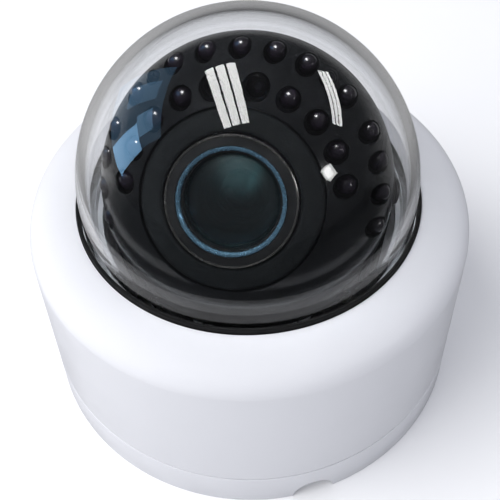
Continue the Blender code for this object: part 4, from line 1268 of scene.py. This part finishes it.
def make_world():
    """Even light all round, which mirror images show dark."""
    world = bpy.data.worlds.new("studio")
    bpy.context.scene.world = world
    world.use_nodes = True
    tree = world.node_tree
    background = tree.nodes["Background"]
    background.inputs["Color"].default_value = (0.90, 0.92, 1.0, 1)
    dim = tree.nodes.new("ShaderNodeMapRange")
    dim.inputs["To Min"].default_value = 0.56
    dim.inputs["To Max"].default_value = 0.05
    path = tree.nodes.new("ShaderNodeLightPath")
    tree.links.new(path.outputs["Glossy Depth"], dim.inputs["Value"])
    tree.links.new(dim.outputs["Result"], background.inputs["Strength"])


WINDOW_PANES = (
    (158, 23, (0.95, 0.8), 0.9),
    (174, 15, (0.34, 0.42), 6.5),
    (168, 30, (0.26, 0.22), 2.5),
    (148, 26, (0.22, 0.42), 1.2),
)


def make_studio():
    make_world()
    mirrors = shiny_pieces("dome_bubble", "led_")
    add_tubes("ceiling_lamp", 137, 77, 0.088, 0.85, 16, radians(143), mirrors)
    add_tubes("side_lamp", 22, 38, 0.036, 0.62, 14, radians(90), mirrors)
    leds = shiny_pieces("led_")
    only_mirrored(add_light("led_spark", aim(137, 77, 1.1), (0.22, 0.34), 150), leds)
    glow = add_light("led_glow", aim(165, 40, 1.1), (0.4, 0.4), 40, (0.2, 0.5, 1.0))
    only_mirrored(glow, leds)
    sheen = add_light("lens_sheen", aim(-98, 60, 1.1), (0.6, 0.6), 3.0, (0.3, 0.75, 0.8))
    only_mirrored(sheen, shiny_pieces("front_lens_fine"))
    add_light("small_lamp", aim(-28, 28, 1.1), (0.13, 0.14), 12)
    blue = (0.30, 0.62, 1.0)
    for number, (azimuth, elevation, size, strength) in enumerate(WINDOW_PANES):
        pane = add_light(f"pane_{number + 1}", aim(azimuth, elevation, 1.2), size, strength, blue)
        only_mirrored(pane, mirrors)
    key = add_light("key", aim(194, 46, 1.25), (1.3, 1.3), 3.6)
    key.visible_glossy = False
    key.visible_transmission = False
    bpy.context.scene.view_settings.view_transform = "Standard"


def make_camera():
    """A close camera that looks down at the dome from in front."""
    data = bpy.data.cameras.new("camera")
    data.lens = 62.0
    data.sensor_width = 36
    data.clip_start = 0.01
    camera = link_object("camera", data)
    down, roll = radians(51.69), -0.0293
    camera.matrix_world = shift(0, -163.2, 243.9) @ spun(pi / 2 - down, "X") @ spun(roll)
    bpy.context.scene.camera = camera


make_base()
make_seal_ring()
make_grommet()
make_clips()
make_main_board()
make_cover()
make_dome()
make_gasket()
make_clamp()
make_pan_table()
make_arm(1, "tilt_arm_right")
make_arm(-1, "tilt_arm_left")
make_eyeball_rear()
make_eyeball_front()
make_leds()
make_windows()
make_roll_retainer()
make_lens_mount()
make_sensor()
make_lens_barrel()
make_zoom_ring()
make_focus_ring()
make_light_seal()
make_screws()
make_floor()
make_studio()
make_camera()
